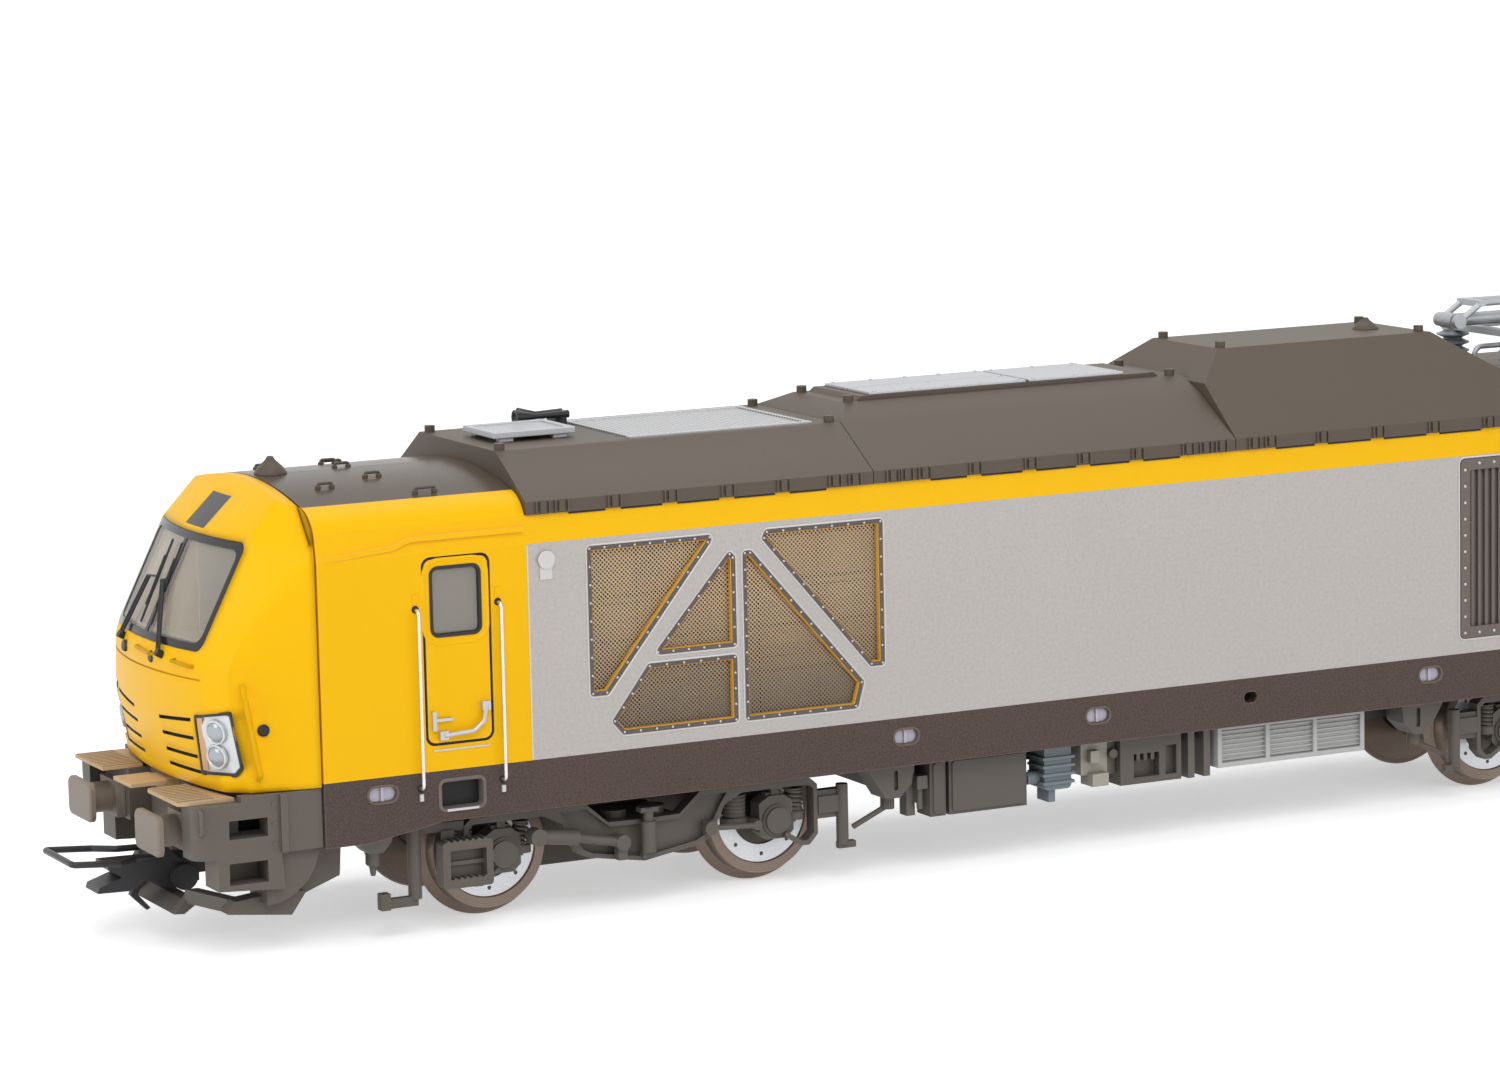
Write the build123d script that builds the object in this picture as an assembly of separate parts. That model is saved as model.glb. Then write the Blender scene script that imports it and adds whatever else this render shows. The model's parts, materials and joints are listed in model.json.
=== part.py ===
from build123d import *
import os

os.makedirs("parts", exist_ok=True)

# A scale model of a four-axle dual-mode locomotive, in millimetres.
# X runs along the locomotive, end 1 is at -X and end 2 at +X, Y is across.
# Heights are measured from the top of the rail, and save() lifts everything by
# the flange depth, so that the wheel flanges stand on z = 0.

# Running gear
flange_depth = 1.0
tread_radius = 6.32
wheel_back_half = 7.2
wheel_width = 2.8
flange_width = 0.85
axle_radius = 1.0
wheelbase = 31.4
pivot_x = 62.07
running_gap = 0.08

# Body
body_half_width = 17.3
wall = 1.3
seam_x = 98.7
seam_gap = 0.12
sole_bottom = 11.23
sole_top = 16.44
waist_top = 38.55
eaves_z = 41.44
eaves_y = 16.8
roof_edge_y = 13.5
roof_edge_z = 43.8
roof_top = 45.5
cab_length = 22.9
fit_gap = 0.15

# Ends
buffer_face_x = 114.83
buffer_y = 10.06
buffer_z = 12.07
mask_bottom = 16.1
skirt_bottom = 10.0
skirt_top = 15.4
skirt_half_width = body_half_width - 0.4
skirt_front_x = 112.3

# Roof
flange_top = 42.8
hump_y = 9.9
hump_z = 47.2
deck_z = 46.0
hood_z = 51.4
hood_y = 6.86

middle_x = seam_x - cab_length


# Shapes

def box(x_low, x_high, y_low, y_high, z_low, z_high):
    """A block between two corners."""
    block = Box(x_high - x_low, y_high - y_low, z_high - z_low)
    return Pos((x_low + x_high) / 2, (y_low + y_high) / 2, (z_low + z_high) / 2) * block


def side_prism(outline, y_low, y_high, corner=0.0):
    """A prism whose outline is drawn in X and height, between two Y planes."""
    face = Polygon(*outline, align=None)
    if corner > 0:
        face = fillet(face.vertices(), corner)
    return extrude(Plane.XZ.offset(-y_high) * face, y_high - y_low, dir=(0, -1, 0))


def cross_prism(outline, x_low, x_high):
    """A prism whose outline is drawn in Y and height, between two X planes."""
    face = Polygon(*outline, align=None)
    return extrude(Plane.YZ.offset(x_low) * face, x_high - x_low, dir=(1, 0, 0))


def plan_prism(outline, z_low, z_high, corner=0.0):
    """A prism whose outline is drawn in X and Y, between two heights."""
    face = Polygon(*outline, align=None)
    if corner > 0:
        face = fillet(face.vertices(), corner)
    return extrude(Plane.XY.offset(z_low) * face, z_high - z_low, dir=(0, 0, 1))


def both_sides(half_outline):
    """A symmetric outline from the half that lies at positive Y."""
    return half_outline + [(-y, z) for y, z in reversed(half_outline)]


def rod(start, end, radius):
    """A round bar between two points."""
    start, end = Vector(*start), Vector(*end)
    plane = Plane(origin=start, z_dir=(end - start).normalized())
    return extrude(plane * Circle(radius), (end - start).length)


def cross_rod(x, z, radius, y_low, y_high):
    """A round bar along Y."""
    return rod((x, y_low, z), (x, y_high, z), radius)


def upright_rod(x, y, radius, z_low, z_high):
    """A round bar standing upright."""
    return rod((x, y, z_low), (x, y, z_high), radius)


def wire(points, radius, bend):
    """A bent round wire."""
    path = FilletPolyline(*points, radius=bend)
    start = Plane(origin=path @ 0, z_dir=path % 0)
    return sweep(start * Circle(radius), path)


def other_side(shape):
    return mirror(shape, Plane.XZ)


def other_end(shape):
    return mirror(shape, Plane.YZ)


def on_both_sides(shapes):
    return shapes + [other_side(shape) for shape in shapes]


def at_both_ends(shapes):
    return shapes + [other_end(shape) for shape in shapes]


def solids_of(shapes):
    """Every solid in a list of shapes."""
    if not isinstance(shapes, (list, tuple)):
        shapes = [shapes]
    return [solid for shape in shapes for solid in shape.solids()]


def fuse(shapes):
    joined = shapes[0]
    for shape in shapes[1:]:
        joined = joined + shape
    return joined


def save(node, shapes):
    """Lift a node onto its flanges and write it."""
    lifted = [Pos(0, 0, flange_depth) * solid for solid in solids_of(shapes)]
    whole = lifted[0] if len(lifted) == 1 else Compound(children=lifted)
    export_step(whole, f"parts/{node}.step")


# Body shell: side walls, sole bars and the two cab roofs, open below

def body_section(inset, bottom):
    """The body's cross-section, with its walls moved in by inset."""
    half = body_half_width - inset
    eaves = (eaves_y - inset, eaves_z)
    edge = (roof_edge_y - inset * 0.6, roof_edge_z - inset * 0.8)
    top = (0, roof_top - inset)
    shoulder = ((eaves[0] + edge[0]) / 2 + 0.45, (eaves[1] + edge[1]) / 2 + 0.35)
    crown = (edge[0] * 0.54, edge[1] + (top[1] - edge[1]) * 0.7)
    outline = [
        Line((0, bottom), (half, bottom)),
        Line((half, bottom), (half, waist_top)),
        Line((half, waist_top), eaves),
        ThreePointArc(eaves, shoulder, edge),
        ThreePointArc(edge, crown, top),
        Line(top, (0, bottom)),
    ]
    face = make_face(outline)
    return face + mirror(face, Plane.YZ)


def body_bar(inset, bottom, x_low, x_high):
    """A bar with the body's cross-section."""
    return extrude(Plane.YZ.offset(x_low) * body_section(inset, bottom), x_high - x_low, dir=(1, 0, 0))


door_x = (-87.45, -79.95)
door_z = (19.0, 38.2)
door_window_x = (-86.6, -81.0)
door_window_z = (30.0, 37.2)
groove_width = 0.3
groove_depth = 0.25
step_hole_x = (-85.9, -81.45)
step_hole_z = (12.55, 15.2)
step_pocket_depth = 2.6


def rounded_window(x_span, z_span, y_low, y_high, corner):
    outline = [(x_span[0], z_span[0]), (x_span[1], z_span[0]), (x_span[1], z_span[1]), (x_span[0], z_span[1])]
    return side_prism(outline, y_low, y_high, corner)


def grown(x_span, margin):
    return (x_span[0] - margin, x_span[1] + margin)


# Corners of the five air intakes as X and height, the same on both sides
intake_outlines = [
    [(-69.2, 37.8), (-54.9, 37.8), (-55.3, 36.9), (-67.2, 22.3), (-69.2, 22.3)],
    [(-53.1, 36.0), (-52.45, 35.3), (-52.45, 25.9), (-62.1, 25.9)],
    [(-62.6, 25.1), (-52.45, 25.1), (-52.45, 18.0), (-65.6, 18.0), (-66.9, 19.5)],
    [(-51.6, 35.8), (-50.6, 35.8), (-37.7, 20.8), (-38.5, 18.0), (-51.6, 18.0)],
    [(-48.9, 37.8), (-35.2, 37.8), (-35.2, 22.3), (-36.9, 22.3), (-49.4, 36.9)],
]
intake_corner = 0.42
intake_recess = 0.55
mesh_thickness = 0.25

# Round-ended recesses in the sole bars: X, height, half length, half height
sole_recesses = [
    (-92.3, 14.7, 1.5, 0.75),
    (-32.8, 14.4, 1.4, 0.75),
    (-9.4, 14.25, 1.4, 0.75),
    (33.4, 14.5, 1.4, 0.75),
]
fill_hole = (9.9, 14.3, 0.85, 0.6)

# Rain gutter over a cab door, as X and height along its lower edge
gutter_line = [(-97.9, 38.55), (-90.4, 39.2), (-88.6, 39.9), (-76.2, 39.9)]
gutter_height = 0.5
gutter_proud = 0.35
handrail_x = (-88.2, -79.2)
handrail_z = (14.9, 33.0)

louvre_x = (37.4, 62.0)
louvre_z = (18.1, 38.3)
louvre_frame = 1.3

outer_y = body_half_width
inner_y = body_half_width - wall


def slot_cut(x, z, half_length, half_height, y_low, y_high):
    """A round-ended cut through Y planes."""
    face = Pos(x, z) * SlotOverall(2 * half_length, 2 * half_height)
    return extrude(Plane.XZ.offset(-y_high) * face, y_high - y_low, dir=(0, -1, 0))


def side_cuts():
    """Everything cut into one side wall, drawn on the positive Y side."""
    cuts = []
    for outline in intake_outlines:
        cuts.append(side_prism(outline, inner_y - 1, outer_y + 1, intake_corner))
    for x, z, half_length, half_height in sole_recesses:
        cuts.append(slot_cut(x, z, half_length, half_height, outer_y - 0.5, outer_y + 1))
    cuts.append(rounded_window(louvre_x, louvre_z, outer_y - 0.7, outer_y + 1, 0.6))
    cuts.append(slot_cut(*fill_hole, inner_y - 1, outer_y + 1))
    outside = rounded_window(door_x, door_z, outer_y - groove_depth, outer_y + 1, 1.0)
    inside = rounded_window(grown(door_x, -groove_width), grown(door_z, -groove_width),
                            outer_y - 1, outer_y + 2, 0.8)
    cuts += at_both_ends([
        rounded_window(door_window_x, door_window_z, inner_y - 1, outer_y + 1, 0.9),
        rounded_window(step_hole_x, step_hole_z, inner_y - 1, outer_y + 1, 0.4),
        outside - inside,
    ])
    return cuts


def gutter():
    """The stepped rain gutter over one cab door, sloping out of the wall."""
    outline = gutter_line + [(x, z + gutter_height) for x, z in reversed(gutter_line)]
    strip = side_prism(outline, body_half_width - 0.9, body_half_width + 0.1)
    return strip & body_bar(-gutter_proud, sole_bottom, -seam_x, -middle_x)


def body_shell():
    length = seam_x - seam_gap
    deep_bottom = 9.85
    shell = body_bar(0, sole_bottom, -length, length) - body_bar(wall, sole_bottom - 2, -length - 1, length + 1)
    deep_end = [(length, sole_bottom), (length, deep_bottom), (93.8, deep_bottom), (85.8, sole_bottom)]
    for end in (1, -1):
        outline = [(end * x, z) for x, z in deep_end]
        lip = side_prism(outline, inner_y, outer_y)
        shell = shell + lip + other_side(lip)
    for strip in on_both_sides(at_both_ends([gutter()])):
        shell = shell + strip
    shell = shell - box(-middle_x, middle_x, -20, 20, eaves_z, 50)
    for cut in side_cuts():
        shell = shell - cut - other_side(cut)
    return shell


# Cab masks: the moulded fronts, drawn at end 2 and mirrored to end 1
# Columns: height, nose X on the centre line, X and Y where the front turns
# into the corner facet, X and Y where the facet meets the side
mask_sections = [
    (16.1, 109.5, 107.9, 14.0, 105.8, 16.0),
    (22.5, 110.8, 109.3, 13.0, 107.4, 16.0),
    (28.6, 111.2, 109.4, 12.2, 107.7, 16.0),
    (30.3, 110.6, 108.9, 12.0, 106.8, 16.0),
    (40.4, 105.4, 103.8, 12.0, 98.9, 16.2),
    (46.0, 99.5, 98.9, 11.0, 98.8, 11.5),
]
screen_bottom = 29.9
screen_top = 40.44
screen_bottom_y = 11.9
screen_top_y = 12.0
screen_frame = 0.75
screen_glass = 0.6
screen_post = 0.35
mask_wall = 1.2


def mask_block(inset):
    """The solid form of a mask, with its skin moved in by inset."""
    faces = []
    back = seam_x + (seam_gap if inset == 0 else -1.0)
    for height, nose, turn_x, turn_y, side_x, side_y in mask_sections:
        side = max(side_x - inset, back + 0.05)
        turn = max(turn_x - inset, side + 0.05)
        front = max(nose - inset, turn + 0.05)
        outline = [
            Line((back, -body_half_width + inset), (back, body_half_width - inset)),
            Line((back, body_half_width - inset), (side, side_y - inset)),
            Line((side, side_y - inset), (turn, turn_y - inset * 0.5)),
            ThreePointArc((turn, turn_y - inset * 0.5), (front, 0), (turn, -turn_y + inset * 0.5)),
            Line((turn, -turn_y + inset * 0.5), (side, -side_y + inset)),
            Line((side, -side_y + inset), (back, -body_half_width + inset)),
        ]
        faces.append(Plane.XY.offset(height) * make_face(outline))
    form = loft(faces, ruled=True)
    return form & body_bar(inset, mask_bottom - 5, back, 115)


def screen_prism(margin, x_low, x_high):
    """The windscreen's outline seen from the front, less a margin."""
    low, high = screen_bottom + margin, screen_top - margin
    half = [(screen_bottom_y - margin, low), (screen_top_y - margin, high)]
    face = fillet(Polygon(*both_sides(half), align=None).vertices(), 1.0)
    return extrude(Plane.YZ.offset(x_low) * face, x_high - x_low, dir=(1, 0, 0))


# Headlight opening in the corner facet, seen from the front
headlight_outline = [(11.2, 23.6), (15.95, 24.4), (15.95, 18.7), (15.2, 17.8), (10.6, 17.5)]
# Cooling slots below the belt: height at the inner and outer end
slot_heights = [(22.6, 23.2), (21.0, 21.3), (19.3, 19.4), (17.8, 17.8)]
belt_half = 12.3
belt_z = (27.15, 27.35)
belt_depth = 0.2
slot_inner_y = 3.7
slot_outer_y = 10.4
slot_height = 0.32
lamp_strip_y = 2.55
lamp_strip_z = (40.9, 43.9)
front_x = (99, 117)
shallow = 0.45
lamp_back_x = 104


def mask():
    outer = mask_block(0)
    front = outer - mask_block(mask_wall)
    front = front - screen_prism(0, *front_x)
    skin = outer - mask_block(shallow)
    for inner_z, outer_z in slot_heights:
        outline = [(slot_inner_y, inner_z), (slot_outer_y, outer_z),
                   (slot_outer_y, outer_z - slot_height), (slot_inner_y, inner_z - slot_height)]
        slot = cross_prism(outline, 106, front_x[1]) & skin
        front = front - slot - other_side(slot)
    lamp_cut = cross_prism(headlight_outline, lamp_back_x, front_x[1])
    strip_cut = box(*front_x, -lamp_strip_y, lamp_strip_y, *lamp_strip_z) & skin
    front = front - (box(*front_x, -belt_half, belt_half, *belt_z) & (outer - mask_block(belt_depth)))
    front = front - lamp_cut - other_side(lamp_cut) - strip_cut
    bar = wire([(106.3, 15.6, 27.2), (106.6, 17.0, 26.6), (105.2, 17.2, 18.0), (104.9, 15.8, 17.2)], 0.28, 0.35)
    return front + bar + other_side(bar)


def windscreen_frame():
    fit = 0.05
    skin = mask_block(0) - mask_block(screen_glass)
    ring = screen_prism(fit, *front_x) - screen_prism(screen_frame, *front_x)
    post = box(*front_x, -screen_post, screen_post, screen_bottom, screen_top) & screen_prism(fit, *front_x)
    return (ring + post) & skin


def windscreen():
    skin = mask_block(0.12) - mask_block(screen_glass)
    opening = screen_prism(screen_frame, *front_x)
    opening = opening - box(*front_x, -screen_post, screen_post, screen_bottom, screen_top)
    return opening & skin


def headlight():
    skin = mask_block(0) - mask_block(mask_wall)
    return cross_prism(headlight_outline, lamp_back_x, front_x[1]) & skin


def lamp_strip():
    skin = mask_block(0) - mask_block(shallow)
    return box(*front_x, -lamp_strip_y, lamp_strip_y, *lamp_strip_z) & skin


def sweeper(pivot_y, pivot_z, tip_y, tip_z):
    """A wiper: round pivot, arm and blade lying just off the glass."""
    clear = 0.6

    def glass_x(z):
        lower, upper = mask_sections[3], mask_sections[4]
        share = (z - lower[0]) / (upper[0] - lower[0])
        return lower[1] + share * (upper[1] - lower[1]) + clear

    pivot_x_front = 111.25
    hub = rod((pivot_x_front - 0.6, pivot_y, pivot_z), (pivot_x_front + 0.5, pivot_y, pivot_z), 0.55)
    arm = rod((pivot_x_front + 0.25, pivot_y, pivot_z), (glass_x(tip_z), tip_y, tip_z), 0.16)
    blade_low = tip_z - 3.2
    blade = rod((glass_x(blade_low), tip_y - 1.2, blade_low), (glass_x(tip_z + 2), tip_y + 0.5, tip_z + 2), 0.2)
    return hub + arm + blade


# Front skirts: buffer beam, steps and rail guard, drawn at end 2
upper_step = (104.5, 108.6, 11.8, 13.7)
lower_step = (104.6, 108.7, 7.2, 9.4)
step_frame = 1.3
step_depth = 3.0
column_bottom = 6.3
corner_box_bottom = 10.4
corner_inner_y = 6.5
corner_round = 1.3
guard_bottom = 3.0
guard_y = skirt_half_width - 2.3
blade_end_y = 6.4
notch_y = 5.2
rivet_radius = 0.22
column_depth = 3.7
beam_wall = 2.3
beam_face_x = 110.6
bumper_y = skirt_half_width - 3.3


def skirt_column():
    """The upright step panel behind the corner, with its two step pockets."""
    front_x = upper_step[1] + step_frame
    outline = [(upper_step[0] - step_frame, skirt_bottom + 0.5), (front_x + 0.7, corner_box_bottom + 1.0),
               (front_x, corner_box_bottom - 0.6), (front_x, column_bottom + 0.4), (upper_step[0] - 1.6, column_bottom)]
    return side_prism(outline, skirt_half_width - column_depth, skirt_half_width)


def skirt_bulge():
    """Quarter-round cheek that leads from the step panel back under the body."""
    face = make_face([
        Line((seam_x + 0.1, skirt_bottom + 0.05), (upper_step[0], skirt_bottom + 0.05)),
        Line((upper_step[0], skirt_bottom + 0.05), (upper_step[0], column_bottom - 1.7)),
        ThreePointArc((upper_step[0], column_bottom - 1.7), (seam_x + 1.9, 6.2), (seam_x + 0.1, skirt_bottom + 0.05)),
    ])
    cheek = extrude(Plane.XZ.offset(-(skirt_half_width - 0.9)) * face, 4.2, dir=(0, -1, 0))
    back = side_prism([(seam_x - 3.2, 9.2), (seam_x - 3.0, 6.2), (seam_x + 1.4, 4.6), (upper_step[0], 4.6),
                       (upper_step[0], skirt_bottom + 0.05), (seam_x + 0.1, skirt_bottom + 0.05), (seam_x, 9.2)],
                      skirt_half_width - 5.7, skirt_half_width - 3.4)
    return cheek + back


def rail_guard():
    """One folded blade of the rail guard, leaning forward in front of the wheel."""
    blade = Plane.XZ.offset(-guard_y) * Polygon((101.6, 5.6), (107.4, 5.0), (108.2, guard_bottom + 0.8),
                                               (101.4, guard_bottom), (99.8, 5.2), align=None)
    outer = extrude(blade, 2.2, dir=(0, -1, 0))
    inner_y = blade_end_y - 0.2
    inner = plan_prism([(106.2, guard_y - 1.7), (107.6, guard_y - 1.7), (109.6, inner_y), (108.2, inner_y)],
                       guard_bottom + 0.6, 5.0)
    end = side_prism([(108.0, 4.6), (109.2, 4.4), (110.9, 2.6), (109.8, 2.5)], notch_y, blade_end_y)
    return fuse([outer, inner, end])


def front_skirt():
    beam_plan = [(seam_x, skirt_half_width), (skirt_front_x, skirt_half_width), (skirt_front_x, bumper_y),
                 (beam_face_x, bumper_y), (beam_face_x, corner_inner_y), (108.2, corner_inner_y)]
    beam_plan = beam_plan + [(x, -y) for x, y in reversed(beam_plan)]
    beam = plan_prism(beam_plan, skirt_bottom, skirt_top)
    corner_edges = beam.edges().filter_by(Axis.Z).filter_by_position(Axis.X, skirt_front_x - 0.1, skirt_front_x + 0.1)
    outer_corners = [edge for edge in corner_edges if abs(edge.center().Y) > skirt_half_width - 0.1]
    beam = fillet(outer_corners, corner_round)
    hollow_y = skirt_half_width - beam_wall
    beam = beam - box(seam_x - 1, 106.5, -hollow_y, hollow_y, skirt_bottom - 1, tongue_z[1])
    post_x = upper_step[0] - step_frame
    grab_y = skirt_half_width + 0.45
    right_parts = [
        skirt_column(),
        skirt_bulge(),
        rail_guard(),
        box(post_x - 0.7, post_x, skirt_half_width - 0.4, skirt_half_width + 0.35, skirt_bottom, mask_bottom - 0.2),
        box(seam_x, 107.2, skirt_half_width - 1.3, skirt_half_width, skirt_top - 0.1, mask_bottom - seam_gap),
        wire([(111.5, grab_y - 0.95, 15.1), (111.6, grab_y, 14.9), (111.6, grab_y, 12.8),
              (111.5, grab_y - 0.95, 12.6)], 0.22, 0.3),
    ]
    right_parts += [cross_rod(post_x + step_frame / 2, z, rivet_radius, skirt_half_width - 0.4,
                              skirt_half_width + 0.12)
                    for z in (10.9, 12.9, 15.0)]
    skirt = fuse([beam] + on_both_sides(right_parts))
    for x_low, x_high, z_low, z_high in (upper_step, lower_step):
        pocket = box(x_low, x_high, skirt_half_width - step_depth, skirt_half_width + 1, z_low, z_high)
        skirt = skirt - pocket - other_side(pocket)
    ridge = side_prism([(108.0, 3.7), (109.3, 3.7), (110.9, 2.6), (109.8, 2.5)], -blade_end_y, blade_end_y)
    return skirt + ridge


def end_treads():
    """Ribbed foot treads above the buffers and the coupler."""
    treads = []
    corner = plan_prism([(110.4, 6.7), (113.3, 6.7), (113.3, 15.2), (112.5, 15.5), (107.4, 15.5), (108.9, 6.7)],
                        skirt_top, skirt_top + 0.35)
    ribs = [box(109.3, 113.3, 6.95 + 0.75 * row, 7.3 + 0.75 * row, skirt_top + 0.3, skirt_top + 0.5)
            for row in range(11)]
    treads.append(fuse([corner] + ribs))
    treads.append(other_side(treads[0]))
    middle = box(109.75, 113.6, -2.6, 2.6, skirt_top - 0.2, skirt_top + 0.2)
    bracket = box(108.2, 109.8, -2.0, 2.0, skirt_top - 0.9, skirt_top + 0.2)
    treads.append(middle + bracket)
    return treads


head_width = 6.8
head_height = 4.1
head_thickness = 0.7


def buffer():
    back_x = beam_face_x
    face = fillet(Rectangle(head_width, head_height).vertices(), 0.9)
    plane = Plane(origin=(buffer_face_x - head_thickness, buffer_y, buffer_z), x_dir=(0, 1, 0), z_dir=(1, 0, 0))
    head = extrude(plane * face, head_thickness)
    head = chamfer(head.faces().sort_by(Axis.X)[-1].edges(), 0.18)
    shank = rod((back_x + 0.02, buffer_y, buffer_z), (buffer_face_x - head_thickness + 0.05, buffer_y, buffer_z), 1.6)
    housing = box(back_x + 0.02, back_x + 1.0, buffer_y - 2.4, buffer_y + 2.4, buffer_z - 1.9, buffer_z + 1.9)
    return head + shank + housing


# Roof: three covers and the pantograph deck, each open below

def roof_cover(outline, x_low, x_high):
    """A hollow cover with the given half cross-section."""
    section = both_sides(outline)
    return cross_prism(section, x_low, x_high)


cover_gap = 0.1
cover_bottom = eaves_z + 0.02
cover_half = eaves_y + 0.25
ridge_1 = [(cover_half, cover_bottom), (cover_half, flange_top), (hump_y, hump_z)]
ridge_low = [(cover_half, cover_bottom), (cover_half, flange_top), (hump_y + 1.6, deck_z)]
cover_x = [-middle_x, -36.0, 8.4, 46.6, middle_x]


def cover_hollow(x_low, x_high, top):
    """The space below a cover, inside its walls."""
    outline = [(cover_half - 2.2, cover_bottom - 1), (cover_half - 2.2, flange_top - 0.6), (hump_y - 1.2, top)]
    return cross_prism(both_sides(outline), x_low + 1.5, x_high - 1.5)


tray_x = (-73.3, -64.0)
tray_y = 4.0
roof_mesh_x = (-60.0, -38.5)
roof_mesh_y = 8.5


def roof_cover_1():
    x_low, x_high = cover_x[0] + cover_gap, cover_x[1] - cover_gap / 2
    cover = roof_cover(ridge_1, x_low, x_high) - cover_hollow(x_low, x_high, hump_z - 1.5)
    cover = cover - box(*roof_mesh_x, -roof_mesh_y, roof_mesh_y, hump_z - 0.5, hump_z + 1)
    return with_fittings(cover, [-73.9, -71.8, -65.9, -59.5, -53.0, -46.6, -40.6, -38.3],
                         [(-74.9, 9.0, hump_z), (-36.9, 8.9, hump_z)])


upper_y = 6.1
upper_z = 48.7
plateau_z = 49.2
plateau_y = 5.45


def roof_cover_2():
    x_low, x_high = cover_x[1] + cover_gap / 2, cover_x[2] - cover_gap / 2
    ridge = roof_cover(ridge_1 + [(upper_y, upper_z)], x_low, x_high)
    rise = side_prism([(x_low, cover_bottom), (x_low, hump_z), (x_low + 2.6, upper_z), (x_high, upper_z),
                       (x_high, cover_bottom)], -20, 20)
    cover = (ridge & rise) - cover_hollow(x_low, x_high, hump_z - 1.5)
    plateau = side_prism([(-31.8, upper_z), (-31.2, plateau_z), (x_high - 3.2, plateau_z), (x_high - 2.6, upper_z)],
                         -plateau_y, plateau_y)
    return with_fittings(cover + plateau, [-33.8, -32.1, -30.0, -23.9, -17.2, -10.6, -4.0, 2.3, 4.5, 6.5],
                         [(-32.7, 5.4, upper_z), (7.2, 5.4, upper_z)])


def roof_cover_3():
    x_low, x_high = cover_x[2] + cover_gap / 2, cover_x[3] - cover_gap / 2
    ridge = roof_cover([(cover_half, cover_bottom), (cover_half, flange_top), (hood_y, hood_z)], x_low, x_high)
    rise = side_prism([(x_low, cover_bottom), (x_low, 48.2), (x_low + 4.1, hood_z), (40.6, hood_z),
                       (x_high, deck_z + 1.2), (x_high, cover_bottom)], -20, 20)
    cover = (ridge & rise) - cover_hollow(x_low, x_high, hood_z - 3.5)
    return with_fittings(cover, [10.7, 12.8, 19.5, 26.8, 34.1, 41.4], [(13.4, 6.0, hood_z), (39.6, 6.0, hood_z)])


def roof_cover_4():
    x_low, x_high = cover_x[3] + cover_gap / 2, cover_x[4] - cover_gap
    cover = roof_cover(ridge_low, x_low, x_high) - cover_hollow(x_low, x_high, deck_z - 1.5)
    return with_fittings(cover, [49.0, 55.5, 62.0, 68.5, 73.9], [(74.2, 9.6, deck_z)])


def with_fittings(cover, bracket_places, lug_places):
    """A cover with its flange brackets and lifting lugs, each row on both sides."""
    fittings = [box(x - 0.3, x + 0.3, cover_half - 0.1, cover_half + 0.3, eaves_z + 0.2, flange_top - 0.1)
                for x in bracket_places]
    fittings += [Pos(x, y, z + 0.3) * Cylinder(0.55, 0.8) for x, y, z in lug_places]
    return fuse([cover] + on_both_sides(fittings))


def roof_tray():
    """Metal tray with a lip, on four feet."""
    pan = box(*tray_x, -tray_y, tray_y, hump_z + 0.45, hump_z + 1.1)
    pan = pan - box(tray_x[0] + 0.7, tray_x[1] - 0.7, -tray_y + 0.7, tray_y - 0.7, hump_z + 0.85, hump_z + 2)
    feet = [box(x, x + 1.6, y - 0.5, y + 0.5, hump_z, hump_z + 0.5)
            for x in (tray_x[0] + 0.8, tray_x[1] - 2.4) for y in (-tray_y + 0.8, tray_y - 0.8)]
    return fuse([pan] + feet)


def roof_mesh():
    """Perforated plate with a raised rim, let into the first cover."""
    plate = box(roof_mesh_x[0] + 0.1, roof_mesh_x[1] - 0.1, -roof_mesh_y + 0.1, roof_mesh_y - 0.1,
                hump_z - 0.5, hump_z + 0.15)
    return plate - box(roof_mesh_x[0] + 0.8, roof_mesh_x[1] - 0.8, -roof_mesh_y + 0.8, roof_mesh_y - 0.8,
                       hump_z, hump_z + 1)


def roof_horns():
    """Twin air horns on a common bracket, mouths towards end 1."""
    horns = []
    for y, length in ((5.2, 6.2), (6.9, 5.0)):
        plane = Plane(origin=(-60.6, y, hump_z + 1.25), z_dir=(-1, 0, 0))
        profile = [(0, 0), (0.42, 0), (0.3, length * 0.6), (0.85, length), (0.7, length), (0, length - 0.3)]
        bell = revolve(Plane.XZ * Polygon(*profile, align=None), Axis.Z)
        horns.append(plane * bell)
    bridge = box(-62.2, -60.9, 4.9, 7.2, hump_z, hump_z + 1.3)
    return fuse(horns + [bridge])


def roof_panels():
    """Two long service panels and a hatch on the middle cover's plateau."""
    panels = []
    for x_low, x_high, y_low, y_high in ((-30.0, -10.8, 0.15, 5.2), (-30.0, -10.8, -5.2, -0.15),
                                         (-10.4, 1.5, -5.2, 5.2)):
        panels.append(box(x_low, x_high, y_low, y_high, plateau_z, plateau_z + 0.3))
    return panels


def dome(x, base, radius, height):
    profile = [(0, -0.6), (radius, -0.6), (radius, 0.1), (radius * 0.8, 0.35 * height), (radius * 0.3, 0.8 * height),
               (radius * 0.18, height), (0, height)]
    return Pos(x, 0, base) * revolve(Plane.XZ * Polygon(*profile, align=None), Axis.Z)


# Grab loops on a cab roof: lowest and highest X, and Y
roof_loops = [(87.7, 89.2, 0.5), (87.0, 88.5, 6.0), (83.7, 85.8, 12.5), (93.2, 94.7, 8.6)]


def roof_loop(x_low, x_high, y):
    """A low wire loop standing on the curved roof."""
    top = roof_top + 0.42 - 0.0087 * y * y
    loop = wire([(x_low, y, top - 1.2), (x_low, y, top), (x_high, y, top), (x_high, y, top - 1.2)], 0.16, 0.2)
    feet = [Pos(x, y, top - 0.6) * Cylinder(0.3, 0.75) for x in (x_low, x_high)]
    return fuse([loop] + feet) - body_bar(0, sole_bottom, x_low - 1, x_high + 1)


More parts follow.
